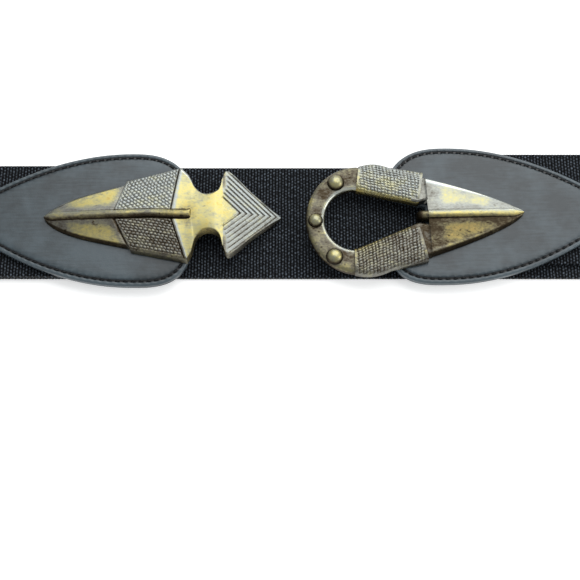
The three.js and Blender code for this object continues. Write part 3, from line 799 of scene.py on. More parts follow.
def dress(obj: bpy.types.Object, material: bpy.types.Material, slot: str, *nodes: str) -> bpy.types.Object:
    """Gives a finished piece its material and ties it to the frame.

    Args:
        obj: the finished piece.
        material: what it is made of.
        slot: the record's material slot; not used.
        nodes: the CAD nodes that it stands for.

    Returns:
        The same piece.
    """
    obj.data.materials.clear()
    obj.data.materials.append(material)
    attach(obj, BODY)
    if nodes:
        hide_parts(*nodes)
    log.info("%s: %d faces", obj.name, len(obj.data.polygons))
    return obj


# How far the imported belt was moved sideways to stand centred
BELT_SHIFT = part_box("elastic_webbing")[0].y / MM + WEBBING_WIDTH / 2


@dataclass
class Webbing:
    """The strip of elastic: a back run, a fold at each end, and two front runs that end under the tabs."""

    width: float = WEBBING_WIDTH
    thickness: float = WEBBING_THICKNESS
    samples_per_rib: int = 3
    across: int = 12
    scallop: float = 0.18

    def half_line(self, tab_x: float, sidestep: float) -> np.ndarray:
        """Follows the strip's middle face from the middle of the back run to under the tab.

        Args:
            tab_x: how far along the belt the strip ends.
            sidestep: how far the front run lies off the axis.

        Returns:
            Points x, y, z in millimetres, close together.
        """
        mid = self.thickness / 2
        radius = FOLD_HEIGHT / 2 - mid
        fold_x = LAID_LENGTH / 2 - FOLD_HEIGHT / 2
        back = np.linspace(0, fold_x, 200)[:-1]
        line = [np.stack([back, 0 * back, 0 * back + mid], axis=1)]
        angle = np.linspace(-math.pi / 2, math.pi / 2, 60)
        arc_x, arc_z = fold_x + radius * np.cos(angle), FOLD_HEIGHT / 2 + radius * np.sin(angle)
        line.append(np.stack([arc_x, 0 * angle, arc_z], axis=1))
        run = np.linspace(0, fold_x - tab_x, 240)[1:]
        point_x = tab_x + TAB_LENGTH - TAB_ONLY_LENGTH
        settled = smoothstep(run, 0, fold_x - point_x)
        top = FOLD_HEIGHT - self.thickness
        z = lerp(top, FRONT_RUN_Z, settled) + mid
        line.append(np.stack([fold_x - run, sidestep * settled, z], axis=1))
        return np.concatenate(line)

    def build(self, finishes: Finishes) -> bpy.types.Object:
        """Lays the flat strip along its line and gives it its thickness.

        Args:
            finishes: the belt's materials.

        Returns:
            The webbing.
        """
        right = self.half_line(RIGHT_TAB_END + TAB_ONLY_LENGTH, WEBBING_SIDESTEP)
        left = self.half_line(TAB_ONLY_LENGTH - LEFT_TAB_END, 0) * [-1, 1, 1]
        line = np.concatenate([left[::-1], right[1:]])
        gone = np.concatenate([[0], np.cumsum(np.linalg.norm(np.diff(line, axis=0), axis=1))])
        length = gone[-1]
        columns = int(length / RIB_PITCH * self.samples_per_rib)
        along = np.linspace(0, length, columns)
        middle = np.stack([np.interp(along, gone, line[:, k]) for k in range(3)], axis=1)
        rib = np.abs(np.cos(np.pi * along / RIB_PITCH))
        half = self.width / 2 - self.scallop + self.scallop * rib
        places = np.zeros((self.across, columns, 3))
        shares = np.linspace(-1, 1, self.across)
        for j, share in enumerate(shares):
            places[j] = middle
            places[j, :, 1] += share * half + BELT_SHIFT
        deselect_all()
        bpy.ops.mesh.primitive_grid_add(x_subdivisions=columns - 1, y_subdivisions=self.across - 1, size=1)
        obj = named("woven_strip")
        set_places(obj, places)
        self.map_flat(obj, length)
        thicken = obj.modifiers.new("thickness", "SOLIDIFY")
        thicken.thickness = self.thickness * MM
        thicken.offset = 0
        only(obj)
        bpy.ops.object.modifier_apply(modifier="thickness")
        smooth(obj, 50)
        dress(obj, finishes.elastic, "elastic_webbing", "elastic_webbing")
        return obj

    def map_flat(self, obj: bpy.types.Object, length: float) -> None:
        """Keeps each point's place on the flat strip, in metres, as the map that the weave follows.

        Args:
            obj: the strip.
            length: its flat length in millimetres.
        """
        layer = obj.data.uv_layers[0]
        layer.name = "flat"
        uv = np.zeros(len(layer.data) * 2, np.float32)
        layer.data.foreach_get("uv", uv)
        uv = uv.reshape(-1, 2) * [length * MM, self.width * MM]
        layer.data.foreach_set("uv", uv.astype(np.float32).ravel())


@dataclass
class Tab:
    """A leather tab: front, backing and the stitching round its edge."""

    side: Side
    width: float
    place: Place
    notched: bool
    upper_power: float
    lower_power: float
    samples: int = 6

    def half_edge(self, power: float, start: float) -> np.ndarray:
        """Follows one half of the edge from the blunt end to the point, a few samples to each stitch.

        Args:
            power: squareness of the blunt corner.
            start: how far off the axis it begins.

        Returns:
            Points x, y in millimetres, evenly spaced.
        """
        angle = np.linspace(0, math.pi / 2, 400)
        blunt = np.stack(
            [
                TAB_WIDEST * (1 - np.cos(angle) ** (2 / power)),
                self.width / 2 * np.sin(angle) ** (2 / power),
            ],
            axis=1,
        )
        share = 1 - (1 - np.linspace(0, 1, 600)[1:]) ** 2
        sides = np.cos(np.minimum(share * math.pi / 2, math.pi / 2)) ** POINT_POWER
        point = np.stack([lerp(TAB_WIDEST, TAB_LENGTH, share), self.width / 2 * sides], axis=1)
        line = np.concatenate([blunt[blunt[:, 1] >= start], point])
        line[-1] = [TAB_LENGTH, 0]
        gone = np.concatenate([[0], np.cumsum(np.linalg.norm(np.diff(line, axis=0), axis=1))])
        stitches = round(gone[-1] / STITCH_PITCH)
        even = np.linspace(0, gone[-1], stitches * self.samples + 1)
        return np.stack([np.interp(even, gone, line[:, k]) for k in range(2)], axis=1)

    def outline(self) -> tuple[np.ndarray, np.ndarray]:
        """Gives the cut edge round from the blunt end, and how far each point is between two stitches.

        Returns:
            Points x, y in millimetres, and shares from 0 at a stitch hole to 1; the notch has none.
        """
        mouth, floor = NOTCH_MOUTH_WIDTH / 2, NOTCH_FLOOR_WIDTH / 2
        starts = (mouth + NOTCH_OFFSET + 0.6, mouth - NOTCH_OFFSET + 0.6) if self.notched else (0.6, 0.6)
        upper = self.half_edge(self.upper_power, starts[0])
        lower = self.half_edge(self.lower_power, starts[1]) * [1, -1]
        notch = [
            [0, NOTCH_OFFSET - mouth],
            [NOTCH_DEPTH, NOTCH_OFFSET - floor],
            [NOTCH_DEPTH, NOTCH_OFFSET + floor],
            [0, NOTCH_OFFSET + mouth],
        ]
        start = notch if self.notched else [[0.0, 0.0]]
        points = np.concatenate([start, upper, lower[::-1][1:]])
        phase = np.full(len(points), np.nan)
        phase[len(start) : len(start) + len(upper)] = np.arange(len(upper)) % self.samples / self.samples
        phase[len(start) + len(upper) :] = np.arange(len(lower))[::-1][1:] % self.samples / self.samples
        return points, phase

    def inset(self, points: np.ndarray, distance: np.ndarray) -> np.ndarray:
        """Moves the outline inwards; where its two sides meet at the point, they stop at the axis.

        Args:
            points: the outline.
            distance: how far in each point goes, in millimetres.

        Returns:
            The inset points.
        """
        ahead = np.roll(points, -1, axis=0) - points
        ahead /= np.linalg.norm(ahead, axis=1, keepdims=True)
        behind = np.roll(ahead, 1, axis=0)
        inward_ahead = np.stack([ahead[:, 1], -ahead[:, 0]], axis=1)
        inward_behind = np.stack([behind[:, 1], -behind[:, 0]], axis=1)
        both = inward_ahead + inward_behind
        reach = 1 + (inward_ahead * inward_behind).sum(axis=1, keepdims=True)
        moved = points + np.reshape(distance, (-1, 1)) * both / np.maximum(reach, 0.5)
        pointed = points[:, 0] > TAB_WIDEST
        crossed = pointed & (moved[:, 1] * np.sign(points[:, 1]) <= 0) & (np.max(distance) > 0)
        if crossed.any():
            moved[crossed] = [moved[pointed & ~crossed, 0].max(), 0]
        return moved

    def layer(
        self, name: str, profile: list[tuple[float, float, float, float]], z: float
    ) -> bpy.types.Object:
        """Raises one layer of leather from its outline.

        Args:
            name: the piece's name.
            profile: for each ring, distance in from the cut edge, height, how far it bulges between two
                stitches, and its painted tone: painted shade above 0, a painted highlight below 0.
            z: the layer's underside.

        Returns:
            The layer, with its painted groove shade and rim highlight marked.
        """
        points, phase = self.outline()
        between = np.nan_to_num(0.5 + 0.5 * np.cos(2 * np.pi * phase), nan=0.5)
        rings, marks = [], []
        for distance, height, bulge, dark in profile:
            inset = np.maximum(distance + (0.12 * (between - 0.5) if bulge else 0 * between), 0.0)
            flat = self.inset(points, inset)
            rings.append(np.column_stack([flat, height + bulge * (between - 0.5)]))
            marks.append(np.where(np.isnan(phase), 0.0, dark))
        level = Place(self.place.x, self.place.y, z, self.place.turn)
        world = level.world(np.array(rings))
        obj = extruded_rings(name, world)
        pairs = zip(world.reshape(-1, 3), np.ravel(marks))
        spots = {tuple(np.round(point * 1000).astype(int)): mark for point, mark in pairs}
        found = [spots.get(tuple(round(c * 1e6) for c in v.co), 0.0) for v in obj.data.vertices]
        set_attribute(obj, "groove_shade_rim_light", np.array(found))
        smooth(obj, 45)
        return obj

    def stitching(self, finishes: Finishes) -> bpy.types.Object:
        """Sews along the groove: one stitch is modelled, and copied along the edge.

        Args:
            finishes: the belt's materials.

        Returns:
            All the stitches as one piece.
        """
        points, phase = self.outline()
        line = self.inset(points, np.full(len(points), STITCH_INSET))
        deselect_all()
        bpy.ops.mesh.primitive_uv_sphere_add(segments=10, ring_count=6, radius=0.5 * MM)
        stitch = named(self.side.value + "_stitch")
        stitch.data.transform(Matrix.Diagonal((STITCH_LENGTH, STITCH_WIDTH, STITCH_WIDTH, 1)))
        lift = TAB_FRONT_Z + TAB_FRONT_THICKNESS - STITCH_SINK
        copies = []
        for k in np.flatnonzero(phase == 0.5):
            if points[k, 0] > TAB_LENGTH - STITCH_STOP:
                continue
            run = line[(k + 1) % len(line)] - line[k - 1]
            spot = self.place.world(np.append(line[k], 0))
            turn = math.atan2(run[1], run[0]) + math.radians(self.place.turn + STITCH_SLANT)
            copy = stitch.copy()
            copy.data = stitch.data.copy()
            move = Matrix.Translation(Vector((spot[0], spot[1], lift)) * MM)
            copy.data.transform(move @ Matrix.Rotation(turn, 4, "Z"))
            bpy.context.scene.collection.objects.link(copy)
            copies.append(copy)
        bpy.data.objects.remove(stitch)
        obj = joined(self.side.value + "_stitching", copies)
        smooth(obj, 60)
        return dress(obj, finishes.thread, "tab_leather")

    def build(self, finishes: Finishes) -> None:
        """Builds both layers and the stitching.

        Args:
            finishes: the belt's materials.
        """
        t = TAB_FRONT_THICKNESS
        # The last number of each front ring paints tone: 0.1 to 0.2 at the foot of the cut edge is painted
        # shade where it sits on the backing, the values below 0 on the cut edge and rounded rim are a painted
        # highlight, and 1 in the sunk groove is painted shade.
        front = [
            (0.25, 0.0, 0, 0.2),
            (0.0, 0.25, 0, 0.1),
            (0.0, t - 0.75, 0, -0.3),
            (0.15, t - 0.32, 0, -0.4),
            (0.5, t - 0.08, 0.12, -0.5),
            (1.0, t, 0.2, -0.3),
            (1.45, t - 0.05, 0.16, 0.0),
            (1.75, t - 0.4, 0, 1.0),
            (2.5, t - 0.4, 0, 1.0),
            (2.8, t - 0.08, -0.08, 0.25),
            (3.5, t + 0.05, 0, 0.0),
            (5.5, t + 0.08, 0, 0.0),
        ]
        b = TAB_BACKING_THICKNESS
        # The backing's bottom and top rings are marked 0.3: painted shade where it meets the layers below and
        # above.
        backing = [(0.5, 0.0, 0, 0.3), (0.15, 0.2, 0, 0), (0.15, b - 0.2, 0, 0), (0.5, b, 0, 0.3)]
        top = self.layer(self.side.value + "_leather_front", front, TAB_FRONT_Z)
        under = self.layer(self.side.value + "_leather_backing", backing, BACKING_Z)
        dress(top, finishes.leather, "tab_leather", self.side.value + "_tab_front")
        dress(under, finishes.backing, "tab_backing_leather", self.side.value + "_tab_backing")
        thread = self.stitching(finishes)
        points, _ = self.outline()


@dataclass
class CastRows:
    """Sections of a cast leaf or arrow: one value a station, at points along its axis."""

    x: np.ndarray
    half: np.ndarray
    edge: np.ndarray
    ridge: np.ndarray
    bead: np.ndarray
    crown: np.ndarray
    slant: np.ndarray
    lean: np.ndarray
    sway: np.ndarray
    lift: np.ndarray

    def across(self, columns: int) -> tuple[np.ndarray, np.ndarray, np.ndarray]:
        """Spreads columns over each section, wall, roof and bead.

        Args:
            columns: how many columns lie on the roof between the bead and the rim.

        Returns:
            Place off the axis, height, and the share of the way from the bead to the rim.
        """
        fading = np.clip(self.bead / (0.4 * BEAD_RISE), 0.06, 1) ** 0.5
        bead_half = np.minimum(BEAD_WIDTH / 2, self.half * 0.45) * fading
        wall = np.maximum(self.half - WALL_FLARE, self.half * 0.8)
        round_off = np.minimum(RIM_ROUND, 0.12 * self.half)
        roof_start = wall - round_off
        side_y, side_z, side_k = [], [], []
        bulge = (lerp(self.half, wall, 0.45), 0.5 * self.edge)
        shoulder = (wall - 0.3 * round_off, self.edge - 0.3 * round_off)
        for y, z in ((self.half, 0 * wall), bulge, (wall, self.edge - round_off), shoulder):
            side_y.append(y)
            side_z.append(z)
            side_k.append(np.full_like(wall, 1.2))
        for s in np.linspace(0, 1, columns):
            y = lerp(roof_start, bead_half * 1.12, s)
            k = (y - bead_half) / np.maximum(wall - bead_half, 1e-6)
            side_y.append(y)
            side_z.append(lerp(self.ridge, self.edge, k) + self.crown * np.sin(np.pi * np.clip(k, 0, 1)))
            side_k.append(k)
        for s in (1.0, 0.97, 0.88, 0.72, 0.48, 0.24):
            side_y.append(bead_half * s)
            foot = 0.1 * np.minimum(self.bead / BEAD_RISE, 1)
            side_z.append(self.ridge - foot + (self.bead + foot) * (1 - s**2.2) ** 0.5)
            side_k.append(np.full_like(wall, -s))
        y = np.array(side_y + [0 * wall] + [-v for v in side_y[::-1]])
        z = np.array(side_z + [self.ridge + self.bead] + side_z[::-1])
        k = np.array(side_k + [np.full_like(wall, -0.01)] + side_k[::-1])
        return y, z, k

    def places(self, y: np.ndarray, z: np.ndarray) -> np.ndarray:
        """Puts the sections along the axis, leaning and swaying as they do."""
        x = self.x + self.slant * np.abs(y) - self.lean * y
        return np.stack([x, y + self.sway * (1 - np.abs(y) / self.half), z + self.lift], axis=-1)


@dataclass
class ArrowHook:
    """The cast hook: leaf blade, cord-bound band, neck and barbed head with chevrons."""

    place: Place
    columns: int = 74
    grain: float = CORD_RELIEF

    def stations(self) -> np.ndarray:
        """Spaces the sections: close on the band and the head, wider elsewhere.

        Returns:
            Distances from the tail's tip, in millimetres.
        """
        return np.concatenate([
            HOOK_BLADE_LENGTH * np.linspace(0.004, 1, 50) ** 1.3,
            np.linspace(HOOK_BLADE_LENGTH + 0.05, HOOK_WRAP_END - 0.02, 110),
            np.linspace(HOOK_WRAP_END + 0.05, HOOK_BARBS - 0.2, 60),
            np.linspace(HOOK_BARBS, HOOK_TIP - 0.15, 120),
        ])

    def rows(self) -> CastRows:
        """Reads every measure of the hook at its stations.

        Returns:
            The sections.
        """
        x = self.stations()
        blade = np.clip(x / HOOK_BLADE_LENGTH, 0.001, 1)
        wrap = np.clip((x - HOOK_BLADE_LENGTH) / HOOK_WRAP_LENGTH, 0, 1)
        neck = np.clip((x - HOOK_WRAP_END) / HOOK_NECK_LENGTH, 0, 1)
        head = np.clip((x - HOOK_BARBS) / HOOK_HEAD_LENGTH, 0, 1)
        on_blade, on_wrap = x <= HOOK_BLADE_LENGTH, (x > HOOK_BLADE_LENGTH) & (x <= HOOK_WRAP_END)
        on_neck, on_head = (x > HOOK_WRAP_END) & (x < HOOK_BARBS), x >= HOOK_BARBS
        stages = [on_blade, on_wrap, on_neck, on_head]
        neck_share = flowing(
            [0, 0.12, 0.23, 0.33, 0.39, 0.45, 0.53, 0.61, 0.7, 0.79, 0.88, 0.94, 0.975, 1],
            [0.99, 0.85, 0.7, 0.49, 0.33, 0.22, 0.1, 0.03, 0, 0.03, 0.11, 0.25, 0.48, 0.72],
            neck,
        )
        head_share = flowing(
            [0, 0.012, 0.03, 0.055, 0.085, 0.13, 0.5, 0.97, 1],
            [0.8, 0.89, 0.95, 0.985, 0.99, 0.965, 0.545, 0.055, 0.015],
            head,
        )
        towards_neck = smoothstep(neck, 0, 0.85)
        slope_start = HOOK_WRAP_END + HOOK_SLOPE_START * HOOK_NECK_LENGTH
        tip_lift = WEBBING_THICKNESS + LAYER_GAP - CASTING_Z
        rise = HOOK_NECK_RISE * smoothstep(neck, 0.05, 0.95)
        thick = lerp(HOOK_HEAD_THICKNESS, HOOK_TIP_THICKNESS, head)
        to_head = smoothstep(neck, 0.7, 1)
        neck_edge = lerp(WRAP_EDGE_HEIGHT, HOOK_NECK_THICKNESS, towards_neck)
        neck_edge = lerp(neck_edge, HOOK_HEAD_THICKNESS, to_head) - 0.3
        neck_ridge = lerp(WRAP_RIDGE_HEIGHT, HOOK_NECK_THICKNESS, towards_neck)
        neck_ridge = lerp(neck_ridge, HOOK_HEAD_THICKNESS, to_head)
        end_slant = flowing([0, 0.12, 0.23, 0.33, 0.45, 0.6, 1], [0.23, 0.19, 0.15, 0.1, 0.04, 0, 0], neck)
        bead_end = np.sqrt(np.clip(1 - np.clip((neck - 0.25) / 0.12, 0, 1) ** 2, 0, 1))
        return CastRows(
            x=x,
            half=np.select(stages, [
                HOOK_BLADE_WIDTH / 2 * blade**0.6,
                lerp(HOOK_WRAP_START_WIDTH, HOOK_WRAP_WIDTH, wrap) / 2,
                lerp(HOOK_NECK_WIDTH, HOOK_WRAP_WIDTH, neck_share) / 2,
                head_share * HOOK_HEAD_WIDTH / 2,
            ]),
            edge=np.select(stages, [
                BLADE_EDGE_HEIGHT * (0.6 + 0.4 * blade),
                lerp(BLADE_EDGE_HEIGHT, WRAP_EDGE_HEIGHT, 0.4 + 0.6 * wrap) - 0.15,
                neck_edge,
                thick - 0.3,
            ]),
            ridge=np.select(stages, [
                BLADE_RIDGE_HEIGHT * (0.4 + 0.6 * blade**0.5),
                lerp(BLADE_RIDGE_HEIGHT, WRAP_RIDGE_HEIGHT, wrap) - 0.2,
                neck_ridge,
                thick,
            ]),
            bead=np.select(stages, [
                BEAD_RISE * (0.4 + 0.6 * blade), BEAD_RISE + 0.2 + 0 * x, BEAD_RISE * bead_end, 0 * x,
            ]),
            crown=np.select(stages, [-0.25 * blade, 0.4 + 0 * x, 0.35 * (1 - neck), 0 * x]),
            slant=np.select(stages, [
                HOOK_WRAP_START_SLANT * smoothstep(blade, 0.2, 1),
                lerp(HOOK_WRAP_START_SLANT, HOOK_WRAP_END_SLANT, wrap),
                end_slant,
                0 * x,
            ]),
            lean=np.select(stages, [
                HOOK_WRAP_LEAN * smoothstep(blade, 0.2, 1),
                HOOK_WRAP_LEAN + 0 * x,
                HOOK_WRAP_LEAN * end_slant / HOOK_WRAP_END_SLANT,
                0 * x,
            ]),
            sway=HOOK_BEAD_SWAY * bead_end * smoothstep(
                x, HOOK_WRAP_END - HOOK_WRAP_LENGTH / 2, HOOK_WRAP_END + HOOK_NECK_LENGTH / 3
            ),
            lift=lerp(rise, tip_lift, np.clip((x - slope_start) / (HOOK_TIP - slope_start), 0, 1)),
        )

    def band(self, x: np.ndarray, y: np.ndarray) -> np.ndarray:
        """Height of the bound cord's grains: slanting on the upper half, nearly level on the lower one.

        Args:
            x: place along the hook.
            y: place off its axis.

        Returns:
            Heights from 0 to 1.
        """
        x = x + 0.25 * np.sin(y * 1.1) + 0.15 * np.sin(x * 0.9 + y)
        heights = []
        for tilt, pitch in HOOK_CORD_ROWS:
            turn = math.radians(tilt)
            along = x * math.cos(turn) - y * math.sin(turn)
            across = x * math.sin(turn) + y * math.cos(turn)
            heights.append(grains(along, across, pitch, 0.5))
        return np.where(y > 0, heights[0], heights[1])

    def chevrons(self, x: np.ndarray, y: np.ndarray) -> np.ndarray:
        """Height of the ridges that run along the head's two edges, from 0 in a groove to 1.

        Args:
            x: place along the hook.
            y: place off its axis.

        Returns:
            Heights from 0 to 1.
        """
        spread = HOOK_HEAD_WIDTH / 2 / (0.9 * HOOK_HEAD_LENGTH)
        inward = (HOOK_TIP - x) - np.abs(y) / spread - CHEVRON_SETBACK
        away = np.abs(inward / CHEVRON_PITCH - np.round(inward / CHEVRON_PITCH)) * CHEVRON_PITCH
        groove = 1 - smoothstep(away, 0.1, 0.6)
        number = np.round(inward / CHEVRON_PITCH)
        kept = (number >= 0) & (number < CHEVRON_COUNT)
        start = HOOK_BARBS - 0.6 + 1.9 * smoothstep(np.abs(y), 7, 12)
        return 1 - groove * kept * smoothstep(x, start, start + 1.1)

    def build(self, finishes: Finishes) -> bpy.types.Object:
        """Casts the hook in one piece.

        Args:
            finishes: the belt's materials.

        Returns:
            The hook.
        """
        rows = self.rows()
        y, z, k = rows.across(self.columns)
        x = np.broadcast_to(rows.x, y.shape)
        on_band = (k > 0) & (k < 1.1)
        held = smoothstep(x, HOOK_BLADE_LENGTH + 0.9, HOOK_BLADE_LENGTH + 1.4)
        held = held * (1 - smoothstep(x, HOOK_WRAP_END - 1.5, HOOK_WRAP_END - 1.2))
        held = held * smoothstep(k, 0.02, 0.07)
        held = held * np.where(y < 0, 1 - smoothstep(k, 0.9, 0.94), 1)
        cord = self.band(x, y)
        starting = np.where(y > 0, 0.35, 0.8) * np.exp(-(((x - HOOK_BLADE_LENGTH - 0.05) / 0.3) ** 2))
        ending = np.exp(-(((x - HOOK_WRAP_END + 1.1) / 0.25) ** 2))
        seam = (starting + ending) * on_band
        z = z + np.where(on_band, self.grain * (cord - 0.5) * held - 0.4 * seam, 0)
        ridges = np.where(k < 1.1, self.chevrons(x, y), 1.0)
        z = z - CHEVRON_RELIEF * (1 - ridges)
        marks = self.marks(x, y, k, cord, ridges, held, seam)
        obj = relief_grid("cast_arrow_hook", self.place.world(rows.places(y, z)), marks)
        smooth(obj, 38)
        return dress(obj, finishes.brass, "antique_brass", "arrow_hook")

    def marks(
        self,
        x: np.ndarray,
        y: np.ndarray,
        k: np.ndarray,
        cord: np.ndarray,
        ridges: np.ndarray,
        held: np.ndarray,
        seam: np.ndarray,
    ) -> dict[str, np.ndarray]:
        """Says how rubbed and how golden each place is, with painted light and shade by side.

        Args:
            x: place along the hook.
            y: place off its axis.
            k: share of the way from the bead to the rim.
            cord: height of the cord's grains.
            ridges: height of the chevrons.
            held: where the cord lies.
            seam: where the cord's first and last turn press in.

        Returns:
            The marks by name.
        """
        share = x / HOOK_BLADE_LENGTH
        upper = y > 0
        beaded = x < HOOK_WRAP_END + 0.35 * HOOK_NECK_LENGTH
        patch = smoothstep(k, 0.12, 0.4) * smoothstep(share, 0.25, 0.5) * (1 - smoothstep(share, 0.85, 1.0))
        # The upper half of the blade is marked lighter than the lower: painted light on the half towards the
        # lamp; patch is real wear.
        flat_wear_and_light = np.where(upper, 0.66, 0.5) + 0.28 * patch
        flat_gilt = 0.1 + 0.6 * patch
        # The upper half of the cord is marked lighter than the lower: painted light on the half towards the
        # lamp.
        cord_wear_and_light = np.where(upper, 0.5 + 0.7 * cord, 0.16 + 0.58 * cord)
        neck_bare = 0.97 - 0.25 * (1 - smoothstep(np.hypot(x - HOOK_WRAP_END - 6, y * 0.8), 2, 6))
        neck_gilt = 0.05 + 0.58 * smoothstep(x, HOOK_WRAP_END + 0.2, HOOK_WRAP_END + 1.6)
        inner = 1 - smoothstep(x + np.abs(y) * 0.75, HOOK_BARBS + 4, HOOK_BARBS + 8)
        # The head's upper bars are marked lighter than the lower ones: painted light on the half towards the
        # lamp.
        head_wear_and_light = 0.48 + (np.where(upper, 0.5, 0.4) + 0.1 * inner) * ridges
        rim = 1 - smoothstep(x, HOOK_BARBS + 0.6, HOOK_BARBS + 1.6)
        rim = rim * smoothstep(np.abs(y), 9, 12)
        head_wear_and_light = lerp(head_wear_and_light, 0.6, rim)
        head_gilt = 0.08 + 0.5 * inner + 0.25 * rim
        stages = [x < HOOK_BLADE_LENGTH, x < HOOK_WRAP_END, x < HOOK_BARBS]
        # The plain strip along the cord is marked lighter on the upper half: painted light on the half
        # towards the lamp.
        strip_wear_and_light = np.where(upper, 0.9, 0.6)
        bare_and_lit = np.select(stages, [flat_wear_and_light, lerp(strip_wear_and_light, cord_wear_and_light, held), neck_bare], head_wear_and_light)
        gilt = np.select(stages, [flat_gilt, 0.12 + 0 * x, neck_gilt], head_gilt)
        off_top = np.clip(-k, 0, 1)
        # The bead's upper side is marked lighter, up into the near-white polish, and its lower side darker:
        # painted highlight and painted shade.
        bead_light_and_shade = 0.68 + np.where(upper, 0.55 * smoothstep(off_top, 0.35, 0.8), -0.45 * off_top)
        bare_and_lit = np.where((k < 0) & beaded, bead_light_and_shade, bare_and_lit)
        # Both feet of the bead are marked darker as patina in the crease; the lower foot is darker still, a
        # painted shadow under the bead.
        bare_and_lit = np.where(((k <= -0.9) | ((k > 0) & (k < 0.03))) & beaded, np.where(upper, 0.45, 0.1), bare_and_lit)
        gilt = np.where((k < 0) & beaded, 0.4 + 0.3 * smoothstep(x, HOOK_WRAP_END - 8, HOOK_WRAP_END), gilt)
        plain = (x < HOOK_BLADE_LENGTH) | ((x > HOOK_WRAP_END) & (x < HOOK_BARBS))
        # Painted highlight: on the upper half only, the far rim of the blade and neck is pushed into the
        # near-white polish and loses its gold.
        far_rim_highlight = upper * plain * smoothstep(k, 0.92, 0.96)
        bare_and_lit, gilt = lerp(bare_and_lit, 1.6, far_rim_highlight), lerp(gilt, 0.0, 0.8 * far_rim_highlight)
        near_rim = ~upper * smoothstep(k, 0.9, 0.94) * (x > HOOK_BLADE_LENGTH) * (x < HOOK_WRAP_END)
        bare_and_lit, gilt = lerp(bare_and_lit, 0.52, near_rim), lerp(gilt, 0.3, near_rim)
        # Side walls are marked by side, the far wall lighter than the near ones: painted light and shade by
        # the way each wall faces.
        near_wall_painted_tone = np.where(x < HOOK_BLADE_LENGTH, 0.3, np.where(x < HOOK_WRAP_END, 0.55, 0.5))
        bare_and_lit = np.where(k > 1.1, np.where(upper, 0.85, near_wall_painted_tone), bare_and_lit)
        return {"bare_and_lit": bare_and_lit * (1 - 0.9 * np.clip(seam, 0, 1)), "gilt": gilt}


